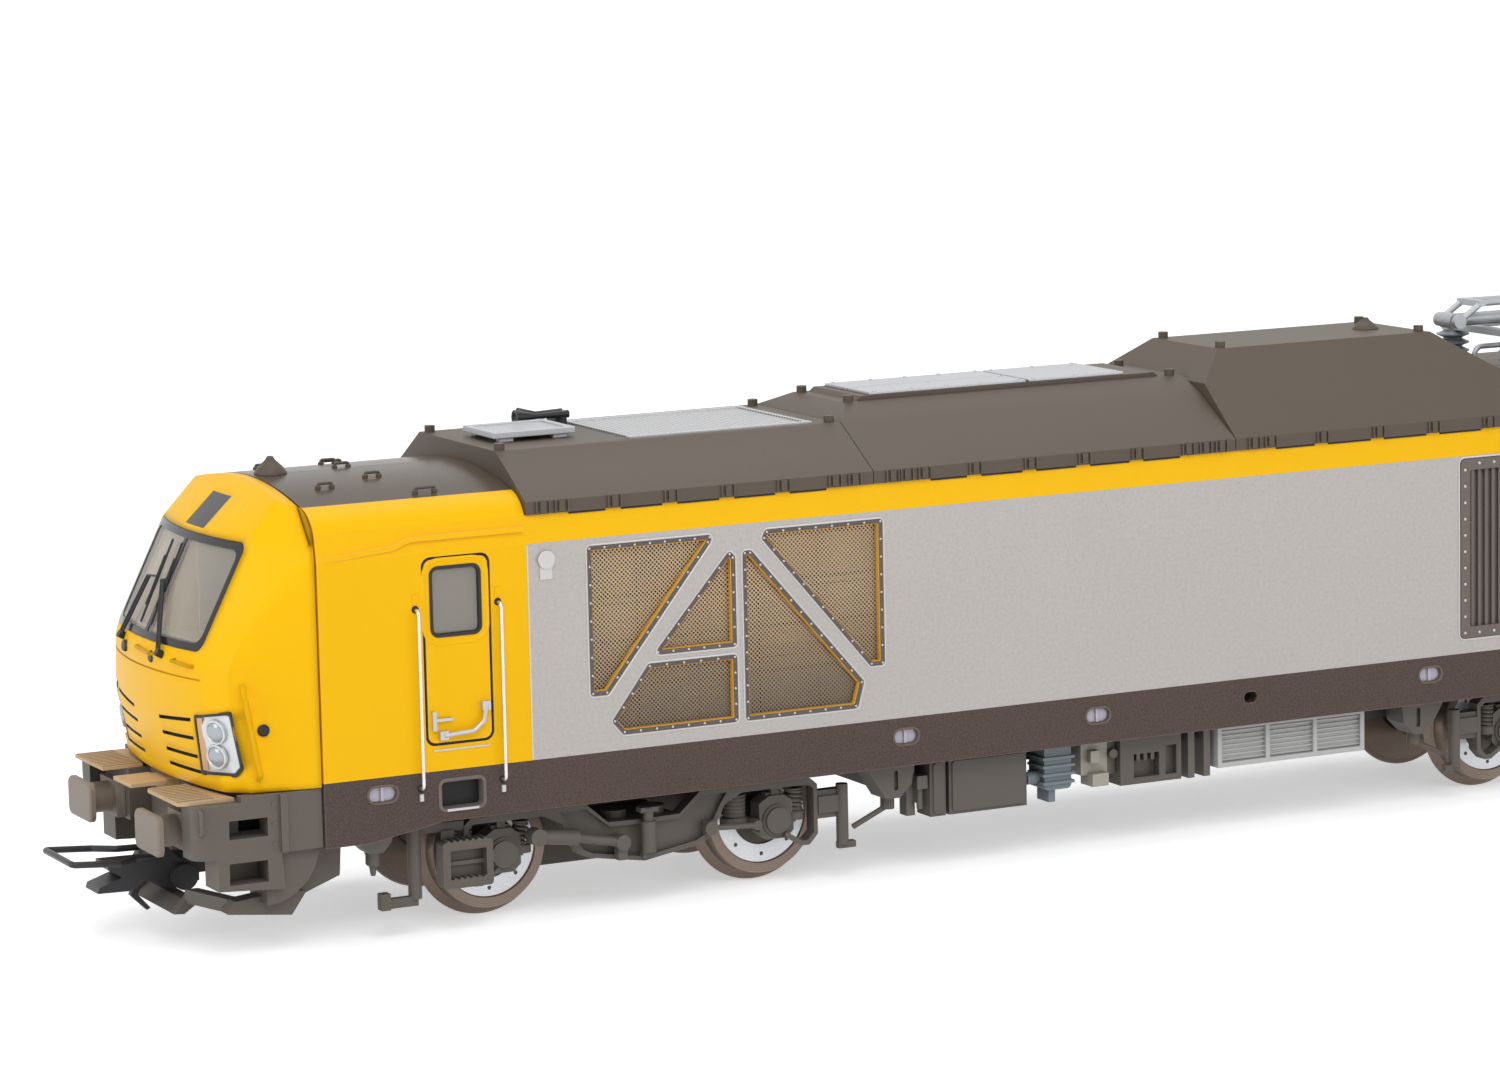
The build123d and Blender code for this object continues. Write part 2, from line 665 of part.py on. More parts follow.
def roof_domes():
    """Round antenna covers on the cab roofs and the high cover, and the cab roofs' grab loops."""
    cab_dome = dome(96.4, roof_top, 1.7, 1.8) - body_bar(0, sole_bottom, 90, 100)
    hood_dome = dome(36.5, hood_z, 1.5, 1.3) - box(30, 40, -5, 5, hood_z - 2, hood_z)
    loops = [roof_loop(*place) for place in roof_loops]
    loops += [other_side(loop) for loop in loops[1:]]
    return at_both_ends([cab_dome] + loops) + [hood_dome]


# Pantograph, drawn folded: the knee points to end 1 and the head lies over the main pivot
panto_pivot = (68.0, 51.6)
panto_arm = 20.0
upper_lift = 1.9
insulator_x = (52.7, 69.5)
insulator_y = 6.2
panto_frame_z = 49.8


def insulators():
    posts = []
    steps = 4
    for x in insulator_x:
        for y in (-insulator_y, insulator_y):
            pitch = (panto_frame_z - deck_z) / steps
            profile = [(0, 0)]
            for step in range(steps):
                low = step * pitch
                profile += [(1.1, low), (1.9, low + pitch * 0.35), (1.9, low + pitch * 0.5), (1.1, low + pitch * 0.85)]
            profile += [(1.1, steps * pitch), (0, steps * pitch)]
            posts.append(Pos(x, y, deck_z) * revolve(Plane.XZ * Polygon(*profile, align=None), Axis.Z))
    return posts


def pantograph_frame():
    rails = [box(insulator_x[0] - 1.2, insulator_x[1] + 1.2, y - 0.6, y + 0.6, panto_frame_z, panto_frame_z + 0.8)
             for y in (-insulator_y, insulator_y)]
    crosses = [box(x - 0.6, x + 0.6, -insulator_y, insulator_y, panto_frame_z, panto_frame_z + 0.8)
               for x in insulator_x]
    ears = [box(panto_pivot[0] - 0.9, panto_pivot[0] + 0.9, y - 0.5, y + 0.5, panto_frame_z, panto_pivot[1] + 0.9)
            for y in (-3.6, 3.6)]
    pad = box(panto_pivot[0] - 0.9, insulator_x[1] + 0.6, -4.1, 4.1, panto_frame_z, panto_frame_z + 0.6)
    frame = fuse(rails + crosses + ears + [pad])
    return frame - cross_rod(*panto_pivot, 0.45 + running_gap, -6, 6)


def lower_arm():
    knee = (panto_pivot[0] - panto_arm, panto_pivot[1])
    shaft = cross_rod(*panto_pivot, 0.45, -4.2, 4.2)
    tube = rod((panto_pivot[0], 0, panto_pivot[1]), (knee[0], 0, knee[1]), 0.75)
    hub = cross_rod(*panto_pivot, 0.95, -2.9, 2.9)
    knee_boss = cross_rod(*knee, 0.9, -1.3, 1.3)
    return (shaft + tube + hub + knee_boss) - cross_rod(*knee, 0.4 + running_gap, -3, 3)


def upper_arm():
    knee = (panto_pivot[0] - panto_arm, panto_pivot[1])
    top = (panto_pivot[0], panto_pivot[1] + upper_lift)
    pin = cross_rod(*knee, 0.4, -2.2, 2.2)
    cheeks = [cross_rod(*knee, 0.8, y - 0.35, y + 0.35) for y in (-1.85, 1.85)]
    legs = [rod((knee[0], y, knee[1]), (knee[0] + 3.0, y, top[1]), 0.35) for y in (-1.85, 1.85)]
    joiner = box(knee[0] + 2.5, knee[0] + 3.5, -2.2, 2.2, top[1] - 0.35, top[1] + 0.35)
    rails = [rod((knee[0] + 3.0, y, top[1]), (top[0], 0.45 * y, top[1]), 0.35) for y in (-1.85, 1.85)]
    head_boss = cross_rod(*top, 0.7, -1.2, 1.2)
    arm = fuse([pin] + cheeks + legs + [joiner] + rails + [head_boss])
    return arm - cross_rod(*top, 0.3 + running_gap, -3, 3)


def pantograph_head():
    top = (panto_pivot[0], panto_pivot[1] + upper_lift)
    spindle = cross_rod(*top, 0.3, -3.6, 3.6)
    arms = [box(top[0] - 2.6, top[0] + 2.6, y - 0.25, y + 0.25, top[1] - 0.3, top[1] + 0.6) for y in (-3.4, 3.4)]
    strips = []
    for x in (top[0] - 2.3, top[0] + 2.3):
        half = [(0, 0.35), (7.5, 0.35), (9.8, -0.5), (11.2, -2.4), (10.7, -2.4), (9.4, -0.9), (7.4, -0.15), (0, -0.15)]
        outline = [(y, z + top[1] + 0.6) for y, z in half]
        strip = cross_prism(outline, x - 0.4, x + 0.4)
        strips.append(strip + other_side(strip))
    return fuse([spindle] + arms + strips)


def roof_conductor():
    """Bare conductor from the pantograph's frame to the high cover's bushing."""
    bar = wire([(56.5, -2.0, deck_z + 2.6), (50.0, -2.0, deck_z + 2.6), (50.0, -2.0, deck_z)], 0.3, 1.0)
    post = Pos(56.5, -2.0, deck_z + 1.3) * Cylinder(0.8, 2.6)
    return bar + post


# Side fittings

def door_windows():
    panes = [rounded_window(grown(door_window_x, -0.02), grown(door_window_z, -0.02), outer_y - 0.75,
                            outer_y - 0.2, 0.85)]
    return on_both_sides(at_both_ends(panes))


def door_handrails():
    rails = []
    for x in handrail_x:
        low, high = handrail_z
        points = [(x, outer_y - 0.1, high), (x, outer_y + 0.85, high), (x, outer_y + 0.85, low),
                  (x, outer_y - 0.1, low)]
        rails.append(wire(points, 0.2, 0.5))
    return on_both_sides(at_both_ends(rails))


def door_handles():
    """Latch plate with its lever, and the cranked pull bar between two square feet."""
    latch = box(-86.8, -86.35, outer_y, outer_y + 0.4, 20.6, 22.6)
    lever = box(-86.5, -84.6, outer_y + 0.1, outer_y + 0.4, 21.5, 21.8)
    low_foot, high_foot = (-85.7, 20.1), (-81.0, 22.7)
    rail_y = outer_y + 0.6
    bar = wire([(low_foot[0], rail_y, low_foot[1]), (-82.4, rail_y, 20.3), (-81.3, rail_y, 21.2),
                (high_foot[0], rail_y, high_foot[1])], 0.24, 0.5)
    feet = [box(x - 0.45, x + 0.45, outer_y, rail_y + 0.1, z - 0.45, z + 0.45) for x, z in (low_foot, high_foot)]
    return on_both_sides(at_both_ends([latch + lever, fuse([bar] + feet)]))


def side_lamps():
    """Round wall lamps beside the cabs."""
    shade = rod((-73.8, outer_y, 36.85), (-73.8, outer_y + 0.35, 36.85), 0.95)
    base = box(-74.5, -73.1, outer_y, outer_y + 0.12, 34.8, 36.85)
    return on_both_sides(at_both_ends([shade + base]))


def intake_meshes():
    """Mesh plates behind the intake openings of one side."""
    back = outer_y - intake_recess - mesh_thickness
    return [side_prism(outline, back, back + mesh_thickness, intake_corner) for outline in intake_outlines]


cassette_depth = 2.4
cassette_front = inner_y - 0.4
cassette_back = cassette_front - cassette_depth
cassette_x = (-69.8, -35.0)
cassette_z = (17.0, 38.6)
cassette_rows = 3
cassette_columns = 5
cassette_joint = 0.2


def intake_cassettes():
    """Filter cassettes standing behind the mesh, in rows on one backing plate."""
    pitch_x = (cassette_x[1] - cassette_x[0]) / cassette_columns
    pitch_z = (cassette_z[1] - cassette_z[0]) / cassette_rows
    cassettes = []
    for row in range(cassette_rows):
        for column in range(cassette_columns):
            x, z = cassette_x[0] + column * pitch_x, cassette_z[0] + row * pitch_z
            cassettes.append(box(x, x + pitch_x - cassette_joint, cassette_back, cassette_front,
                                 z, z + pitch_z - cassette_joint))
    backing = box(*cassette_x, cassette_back - 0.8, cassette_back + 0.05, *cassette_z)
    return fuse([backing] + cassettes)


def louvre_panel():
    """Bolted frame with upright blades."""
    face_y = outer_y - 0.68
    frame = rounded_window(grown(louvre_x, -0.05), grown(louvre_z, -0.05), face_y, outer_y + 0.15, 0.55)
    frame = frame - rounded_window(grown(louvre_x, -louvre_frame), grown(louvre_z, -louvre_frame), face_y + 0.3,
                                   outer_y + 1, 0.2)
    inner_low, inner_high = louvre_x[0] + louvre_frame, louvre_x[1] - louvre_frame
    count = 24
    pitch = (inner_high - inner_low) / count
    blades = [box(inner_low + pitch * (n + 0.25), inner_low + pitch * (n + 0.7), face_y + 0.25, outer_y - 0.05,
                  louvre_z[0] + louvre_frame - 0.05, louvre_z[1] - louvre_frame + 0.05) for n in range(count)]
    return fuse([frame] + blades)


# Underframe

chassis_half = inner_y - fit_gap
under_y = body_half_width - 2.3
floor_z = (14.6, 16.6)
case_depth = 3.0
keel_half = under_y - case_depth
keel_bottom = 9.2
gear_top = 11.1
tongue_z = (13.8, 14.9)
coupler_pivot_x = 101.0
coupler_z = 6.2
running_pin = 0.8


def coupler_mount():
    """Pivot pin and hanger for a coupler, drawn at end 2."""
    pin = Pos(coupler_pivot_x, 0, coupler_z + 1.2) * Cylinder(running_pin, 4.0)
    plate = box(97.4, 103.0, -3.2, 3.2, 8.2, 9.6)
    hanger = box(97.4, 99.0, -3.2, 3.2, 9.5, tongue_z[0] + 0.1)
    return fuse([pin, plate, hanger])


def chassis():
    """Die-cast floor with a deep middle, pivot bosses and coupler hangers."""
    floor = box(-97.5, 97.5, -chassis_half, chassis_half, *floor_z)
    middle = box(-33.5, 33.5, -keel_half, keel_half, keel_bottom, floor_z[1])
    bosses = [Pos(x, 0, 12.6) * Cylinder(2.4, 4.2) for x in (-pivot_x, pivot_x)]
    tongues = at_both_ends([box(96.0, 106.5, -14.6, 14.6, *tongue_z), coupler_mount()])
    return fuse([floor, middle] + bosses + tongues)


def motor_block():
    """Motor with its flywheels, one plain block on the floor."""
    return box(-22, 22, -7.5, 7.5, floor_z[1], 30.0)


def underframe_tank():
    """Tank that tapers to its foot, with a round-ended groove and a jet on the foot."""
    tank = side_prism([(-36.6, gear_top), (-30.9, gear_top), (-31.2, 8.9), (-32.6, 7.5), (-34.3, 7.5)],
                      keel_half, under_y + 0.4)
    groove = extrude(Plane.XZ.offset(-under_y) * (Pos(-33.1, 9.4) * Rot(0, 0, 90) * SlotOverall(2.2, 0.55)), 1,
                     dir=(0, 1, 0))
    foot = upright_rod(-33.4, under_y - 1.1, 0.75, 6.2, 7.6)
    jet = rod((-33.4, under_y - 1.1, 6.5), (-37.4, under_y - 1.4, 4.6), 0.3)
    return fuse([tank - groove, foot, jet])


def drain_cone():
    """Sand box outlet between the sole bar and the outer wheel."""
    cup = side_prism([(-94.0, gear_top - 0.5), (-90.4, gear_top - 0.5), (-90.4, 9.3), (-91.4, 8.2), (-92.9, 8.2),
                      (-94.0, 9.3)], keel_half, under_y - 0.3)
    spout = revolve(Plane.XZ * Polygon((0, 8.3), (0.75, 8.3), (0.75, 6.9), (0.4, 6.6), (0.25, 5.7), (0, 5.6),
                                       align=None), Axis.Z)
    hanger = box(-93.6, -90.6, keel_half - 0.6, keel_half + 0.6, gear_top - 0.6, floor_z[0])
    return fuse([cup, Pos(-92.05, under_y - 1.6, 0) * spout, hanger])


def hung_case(x_low, x_high, z_low, y_high):
    """A case hung beside the keel."""
    return box(x_low, x_high, keel_half, y_high, z_low, gear_top)


def lidded_case(x_low, x_high, z_low, y_high):
    """A hung case with a raised lid on its outer face."""
    lid = rounded_window((x_low + 0.35, x_high - 0.35), (z_low + 0.35, gear_top - 0.4), y_high - 0.1, y_high + 0.2,
                         0.4)
    return hung_case(x_low, x_high, z_low, y_high) + lid


def underframe_cases():
    deep = lidded_case(-26.5, -17.0, 4.9, under_y)
    deep = deep + box(-26.5, -17.0, 3.0, keel_half + 0.1, 4.9, keel_bottom)
    rack = hung_case(-5.3, 2.4, 5.7, under_y)
    rack = rack - box(-3.6, -0.4, under_y - 1.2, under_y + 1, 6.4, 9.0)
    rack = rack - box(0.4, 1.8, under_y - 0.8, under_y + 1, 6.4, 9.6)
    rungs = [box(x, x + 0.45, under_y - 1.3, under_y - 0.1, 8.2, 9.1) for x in (-3.2, -2.3, -1.4)]
    return [lidded_case(-28.8, -26.9, 4.9, under_y), deep, fuse([rack] + rungs)]


def compressor():
    """Ribbed compressor with a round stub."""
    casing = box(-15.0, -11.7, keel_half, under_y + 0.4, 6.3, gear_top)
    casing = fillet(casing.edges().filter_by(Axis.Y), 0.5)
    ribs = [box(-15.3, -11.4, keel_half + 0.2, under_y + 0.65, z, z + 0.3) for z in (6.9, 7.8, 8.7, 9.6)]
    stub = rod((-16.6, under_y - 1.0, 7.6), (-14.9, under_y - 1.0, 7.6), 0.7)
    foot = box(-14.3, -13.5, keel_half + 0.5, under_y, 4.9, 6.4)
    return fuse([casing] + ribs + [stub, foot])


def air_gear():
    """Air valves, cocks and pipe posts between the cases."""
    valve = fuse([
        hung_case(-9.8, -6.5, 7.2, under_y - 0.8),
        box(-8.9, -6.9, keel_half + 0.6, under_y + 0.2, 6.0, 7.4),
        box(-9.0, -7.9, under_y - 0.9, under_y, 8.6, 9.9),
        cross_rod(-5.95, 9.3, 0.5, keel_half, under_y - 0.3),
        box(-6.6, -5.4, keel_half, under_y - 1.0, 7.0, gear_top),
    ])
    cocks = fuse([
        hung_case(-30.9, -29.9, 5.0, under_y - 1.4),
        box(-30.2, -29.0, keel_half, under_y - 0.2, 8.0, 9.4),
        upright_rod(-29.6, under_y - 0.9, 0.35, 5.8, 8.2),
    ])
    posts = [hung_case(x, x + 0.8, 5.6, under_y - 0.2) for x in (3.4, 5.4)]
    return [valve, cocks] + posts


grid_x = (6.9, 26.0)
grid_z = (6.4, gear_top)
grid_rim = 0.55
grid_count = 3
grid_bars = 7


def radiator_grid():
    """Three-part cooling grid with level bars, hung below the sole bar."""
    face_y = under_y + 0.3
    body = box(*grid_x, keel_half, face_y, *grid_z)
    pitch = (grid_x[1] - grid_x[0] - grid_rim) / grid_count
    for section in range(grid_count):
        low = grid_x[0] + grid_rim + section * pitch
        body = body - box(low, low + pitch - grid_rim, face_y - 0.5, face_y + 1, grid_z[0] + grid_rim,
                          grid_z[1] - grid_rim)
    bar_pitch = (grid_z[1] - grid_z[0] - 2 * grid_rim) / grid_bars
    bars = [box(grid_x[0] + 0.1, grid_x[1] - 0.1, face_y - 0.55, face_y - 0.3,
                grid_z[0] + grid_rim + bar_pitch * (row + 0.3), grid_z[0] + grid_rim + bar_pitch * (row + 0.7))
            for row in range(grid_bars)]
    return fuse([body] + bars)


# Bogies, drawn at end 1 with u counted from the pivot, positive towards the middle

axle_u = wheelbase / 2
frame_y = (12.5, 14.2)
frame_top = 10.5
frame_low = 3.9
valley_z = 8.3
flange = 0.45
arch_z = frame_top - 0.65
web_recess = 0.6
axlebox_y = (11.4, 13.5)
cap_radius = 1.37
spring_z = (6.9, 9.4)
spring_y = 12.6


def at_pivot(shape):
    return Pos(-pivot_x, 0, 0) * shape


def beam_outline():
    """Half of a side frame's outline: the valley, the arch over an axle and its curled end."""
    end = axle_u + 4.5
    return [(0, valley_z), (4.1, valley_z + 0.1), (6.5, frame_top), (end - 0.8, frame_top), (end, frame_top - 0.7),
            (end, 4.5), (end - 1.0, 3.4), (end - 1.9, 3.4), (end - 3.9, 4.7), (end - 3.7, 5.1), (end - 1.8, 3.9),
            (end - 1.2, 3.9), (end - flange, 4.7), (end - flange, arch_z - 0.45), (end - 1.0, arch_z),
            (axle_u - 4.3, arch_z), (axle_u - 6.4, 8.8), (axle_u - 7.4, 6.9), (axle_u - 8.3, 5.4), (6.2, 4.9),
            (0, frame_low)]


def web_outline():
    """Half of the sunk web between the flanges."""
    return [(0, valley_z - flange), (3.95, valley_z - 0.35), (6.6, frame_top - flange),
            (axle_u - 6.1, frame_top - flange), (axle_u - 6.85, 8.95), (axle_u - 7.85, 7.1), (axle_u - 8.75, 5.85),
            (5.95, 4.9 + flange), (0, frame_low + flange)]


def mirrored_outline(half):
    """A closed outline from its half at positive X, whose first and last points lie on the middle."""
    return half + [(-x, z) for x, z in reversed(half[1:-1])]


def axlebox(u, spring_places):
    """Axlebox with its cap and crown, on an arm that carries the spring seats."""
    low, high = axlebox_y
    z = tread_radius
    body = side_prism([(u - 2.0, z + 1.9), (u - 0.9, z + 2.6), (u + 0.9, z + 2.6), (u + 2.0, z + 1.9),
                       (u + 2.0, z - 1.2), (u + 1.2, z - 2.0), (u - 1.2, z - 2.0), (u - 2.0, z - 1.2)], low, high)
    parts = [
        body,
        cross_rod(u, z, cap_radius, high - 0.2, high + 0.5),
        cross_rod(u, z, cap_radius + 0.3, high - 0.2, high + 0.2),
        box(u - 0.45, u + 0.45, 12.0, 13.2, z + 2.4, frame_top - 0.3),
        box(u - 1.0, u + 1.0, 12.2, 13.0, z + 2.5, z + 2.9),
    ]
    for place, radius in spring_places:
        parts.append(Pos(place, spring_y, spring_z[0] - 0.4) * Cylinder(radius + 0.15, 0.8))
        parts.append(box(min(place, u), max(place, u), low + 0.3, high - 0.3, z - 0.5, z + 0.3))
    return fuse(parts)


# Primary springs: distance from the axle and radius, at the outer and the inner axle
outer_springs = [(-axle_u - 4.3, 1.2), (-axle_u + 2.4, 0.9)]
inner_springs = [(axle_u - 4.6, 1.3), (axle_u + 2.4, 1.05)]


def side_frame():
    frame = side_prism(mirrored_outline(beam_outline()), *frame_y, 0.15)
    frame = frame - side_prism(mirrored_outline(web_outline()), frame_y[1] - web_recess, frame_y[1] + 1)
    lug = box(axle_u - 8.9, axle_u - 7.3, frame_y[0], frame_y[1], 5.9, 7.3)
    return fuse([frame, lug, axlebox(-axle_u, outer_springs), axlebox(axle_u, inner_springs)])


def bogie_frame():
    """Two side frames joined by a bolster with its secondary spring stools."""
    side = side_frame()
    bolster = box(-4.2, 4.2, -12.6, 12.6, 7.0, valley_z)
    stools = [Pos(x, y, valley_z + 0.4) * Cylinder(1.35, 0.9) for x in (-2.2, 2.2) for y in (-11.4, 11.4)]
    frame = fuse([side, other_side(side), bolster] + stools)
    for u in (-axle_u, axle_u):
        frame = frame - cross_rod(u, tread_radius, axle_radius + running_gap, -13.2, 13.2)
    for u, radius in outer_springs + inner_springs:
        seat = upright_rod(u, spring_y, radius, *spring_z)
        frame = frame - seat - other_side(seat)
    return frame


def gear_case():
    """Gear tower between the wheels, with the pivot socket on top."""
    outline = [(-axle_u - 3.3, 5.0), (-axle_u - 3.3, 8.6), (-axle_u + 3.7, 11.8), (axle_u - 3.7, 11.8),
               (axle_u + 3.3, 8.6), (axle_u + 3.3, 5.0), (axle_u + 0.8, 2.8), (-axle_u - 0.8, 2.8)]
    case = side_prism(outline, -5.8, 5.8)
    case = case - Pos(0, 0, 11.0) * Cylinder(2.4 + 0.25, 4.0)
    case = case - box(-4.4, 4.4, -6.5, 6.5, 6.9, 8.4)
    for u in (-axle_u, axle_u):
        case = case - cross_rod(u, tread_radius, axle_radius + running_gap, -8, 8)
    return case


def spring(u, radius):
    """A coil spring, drawn as a stack of turns."""
    bottom, top = spring_z
    turns = 4
    pitch = (top - bottom) / turns
    profile = [(0, bottom)]
    for turn in range(turns):
        low = bottom + turn * pitch
        profile += [(radius * 0.78, low), (radius, low + pitch * 0.5), (radius * 0.78, low + pitch)]
    profile += [(0, top)]
    return Pos(u, spring_y, 0) * revolve(Plane.XZ * Polygon(*profile, align=None), Axis.Z)


def dampers():
    """Yaw damper, upright damper and the axle guide link on one side."""
    yaw_u, yaw_y = 3.1 - axle_u, frame_y[1] + 0.85
    yaw = fuse([
        rod((yaw_u + 0.2, yaw_y, 8.0), (yaw_u + 4.6, yaw_y, 7.4), 0.8),
        rod((yaw_u + 4.4, yaw_y, 7.4), (-3.2, yaw_y, 6.4), 0.5),
        cross_rod(yaw_u, 8.0, 0.9, frame_y[1], yaw_y + 0.85),
        cross_rod(-3.0, 6.35, 0.8, frame_y[1], yaw_y + 0.55),
        box(-3.5, -2.5, frame_y[1], yaw_y + 0.3, 4.5, 6.4),
    ])
    upright_y = frame_y[1] + 0.8
    upright = fuse([
        rod((0.1, upright_y, 5.0), (0.1, upright_y, 8.2), 0.78),
        rod((0.1, upright_y, 8.1), (0.1, upright_y, 9.6), 0.55),
        box(-0.9, 1.1, frame_y[1], upright_y + 0.4, 9.2, 9.7),
        box(-0.6, 0.8, frame_y[1], upright_y + 0.2, 4.4, 5.2),
    ])
    link_y = frame_y[1] + 0.55
    link = fuse([
        rod((axle_u - 8.3, link_y, 6.6), (axle_u - 2.8, link_y, 6.3), 0.3),
        cross_rod(axle_u - 8.3, 6.6, 0.75, frame_y[1], link_y + 0.35),
        cross_rod(axle_u - 2.9, 6.3, 0.5, axlebox_y[1] + 0.02, link_y + 0.2),
    ])
    return [yaw, upright, link]


step_u = (-axle_u - 7.7, -axle_u - 2.2)
step_z = (3.9, 8.7)
step_y = (frame_y[1] + 0.1, frame_y[1] + 1.9)
step_ribs = 7


def step_box():
    """Open-framed step with a ribbed tread and lip, and a hanger to the frame."""
    low, high = step_u
    outside = rounded_window(step_u, step_z, *step_y, 0.4)
    opening = rounded_window((low + 0.8, high - 0.7), (step_z[0] + 0.9, step_z[1] - 0.9), step_y[0] + 0.5,
                             step_y[1] + 1, 0.2)
    pitch = (high - low - 0.8) / step_ribs
    ribs = [box(low + 0.5 + n * pitch, low + 0.8 + n * pitch, step_y[0] + 0.2, step_y[1], z, z + 0.3)
            for n in range(step_ribs) for z in (step_z[1] - 0.15, step_z[0] + 0.75)]
    brace = box(low + 0.4, high - 0.4, step_y[0], step_y[0] + 0.9, 6.1, 6.5)
    hanger = box(low + 0.6, low + 2.0, frame_y[1], step_y[0] + 0.1, 6.0, frame_top - 0.9)
    return fuse([outside - opening, brace, hanger] + ribs)


def sand_pipes():
    """Sanding pipes and their brackets before and behind the bogie."""
    outer_u, inner_u = -axle_u - 10.1, axle_u + 7.5
    outer = fuse([
        upright_rod(outer_u, frame_y[1], 0.7, 3.0, frame_top - 0.1),
        box(outer_u - 3.9, outer_u + 0.2, frame_y[1] - 0.4, frame_y[1] + 0.4, 2.3, 3.3),
        box(outer_u - 3.9, outer_u - 2.9, frame_y[1] - 0.6, frame_y[1] + 0.6, 2.2, 3.9),
        box(outer_u - 0.1, -axle_u - 4.52, frame_y[1] - 1.0, frame_y[1] - 0.1, spring_z[1] + 0.1, frame_top - 0.1),
    ])
    inner = fuse([
        upright_rod(inner_u, frame_y[1] - 0.2, 0.65, 3.0, 9.5),
        box(axle_u + 4.5, inner_u + 0.1, 12.8, frame_y[1] - 0.2, 6.0, 9.0),
        box(axle_u + 4.6, inner_u - 0.4, 12.6, frame_y[1] + 0.1, 6.6, 8.4),
        box(inner_u - 0.6, inner_u + 1.4, frame_y[1] - 0.6, frame_y[1] + 0.2, 2.6, 3.3),
    ])
    return [outer, inner]


def wheelset():
    """Axle with two flanged disc wheels, drawn at the origin and along Y."""
    back, face = wheel_back_half, wheel_back_half + wheel_width
    profile = [(0, face - 0.7), (1.5, face - 0.45), (3.2, face - 0.45), (3.2, face - 0.25), (5.15, face - 0.25),
               (5.25, face - 0.05), (tread_radius - 0.12, face), (tread_radius - 0.04, face - 0.15),
               (tread_radius + 0.06, back + flange_width + 0.25), (tread_radius + flange_depth * 0.75,
               back + flange_width * 0.75), (tread_radius + flange_depth, back + 0.42),
               (tread_radius + flange_depth * 0.85, back + 0.1), (tread_radius + 0.3, back), (0, back)]
    wheel = revolve(Plane.XY * Polygon(*profile, align=None), Axis.Y)
    hub_holes = [Rot(0, angle, 0) * (Pos(4.25, 0, 0) * rod((0, face - 0.6, 0), (0, face + 0.2, 0), 0.22))
                 for angle in range(0, 360, 45)]
    for hole in hub_holes:
        wheel = wheel - hole
    axle = rod((0, -13.1, 0), (0, 13.1, 0), axle_radius)
    return fuse([axle, wheel, other_side(wheel)])


# Couplers, drawn at end 2

loop_pivot = (110.6, 7.9)


def coupler_bar():
    eye = Pos(coupler_pivot_x, 0, coupler_z) * Cylinder(2.0, 1.4)
    bar = box(coupler_pivot_x, 107.2, -1.5, 1.5, coupler_z - 0.7, coupler_z + 0.7)
    head_outline = [(106.4, 4.8), (108.6, 4.2), (110.2, 4.6), (112.0, 5.4), (113.8, 4.5), (117.3, 4.6), (117.1, 5.2),
                    (114.6, 6.0), (116.1, 6.9), (116.1, 7.5), (111.6, 7.4), (110.9, 8.7), (109.6, 8.5), (108.6, 7.4),
                    (106.4, 7.3)]
    head = side_prism(head_outline, -1.9, 1.9)
    boss = cross_rod(108.1, 5.4, 1.35, -2.6, 2.6)
    release = side_prism([(112.4, 5.9), (113.3, 3.7), (111.6, 2.0), (111.2, 2.2), (112.5, 3.7), (111.6, 5.9)],
                         -0.4, 0.4)
    coupler = fuse([eye, bar, head, boss, release])
    coupler = coupler - Pos(coupler_pivot_x, 0, coupler_z) * Cylinder(running_pin + running_gap, 4)
    return coupler - cross_rod(*loop_pivot, 0.3 + running_gap, -3, 3)


def coupler_loop():
    """Stirrup-shaped loop on a cross pin."""
    pin = cross_rod(*loop_pivot, 0.3, -3.0, 3.0)
    bars = []
    for side in (1, -1):
        bars.append(wire([(loop_pivot[0], side * 2.75, loop_pivot[1]), (113.6, side * 2.75, 8.0),
                          (115.6, side * 4.3, 8.0), (120.6, side * 4.3, 8.4), (120.6, 0, 8.4)], 0.34, 0.5))
    return fuse([pin] + bars)


# Cab interiors, drawn at end 2

def cab_interior():
    """Floor, rear wall, desk and two seats."""
    back_x = middle_x + 1.6
    floor = box(back_x, 103.5, -14.4, 14.4, 17.2, 18.2)
    rear = box(back_x, back_x + 1.0, -15.2, 15.2, 18.1, 40.0)
    desk = side_prism([(100.6, 18.1), (100.6, 26.0), (99.0, 27.0), (99.0, 27.8), (104.6, 28.8), (105.2, 28.2),
                       (105.2, 18.1)], -12.0, 12.0)
    parts = [floor, rear, desk]
    for y in (-6.8, 6.8):
        parts.append(box(91.0, 95.5, y - 2.6, y + 2.6, 18.1, 23.8))
        parts.append(side_prism([(90.2, 23.0), (89.4, 33.5), (90.4, 34.0), (91.6, 24.0), (95.5, 23.7)],
                                y - 2.6, y + 2.6))
    return fuse(parts)


# Writing the nodes

front = mask()
screen_ring = windscreen_frame()
screen = windscreen()
lamp = headlight()
skirt = front_skirt()
wipers = [sweeper(-1.0, 28.4, -4.6, 36.0), sweeper(-6.8, 28.2, -9.6, 33.5)]

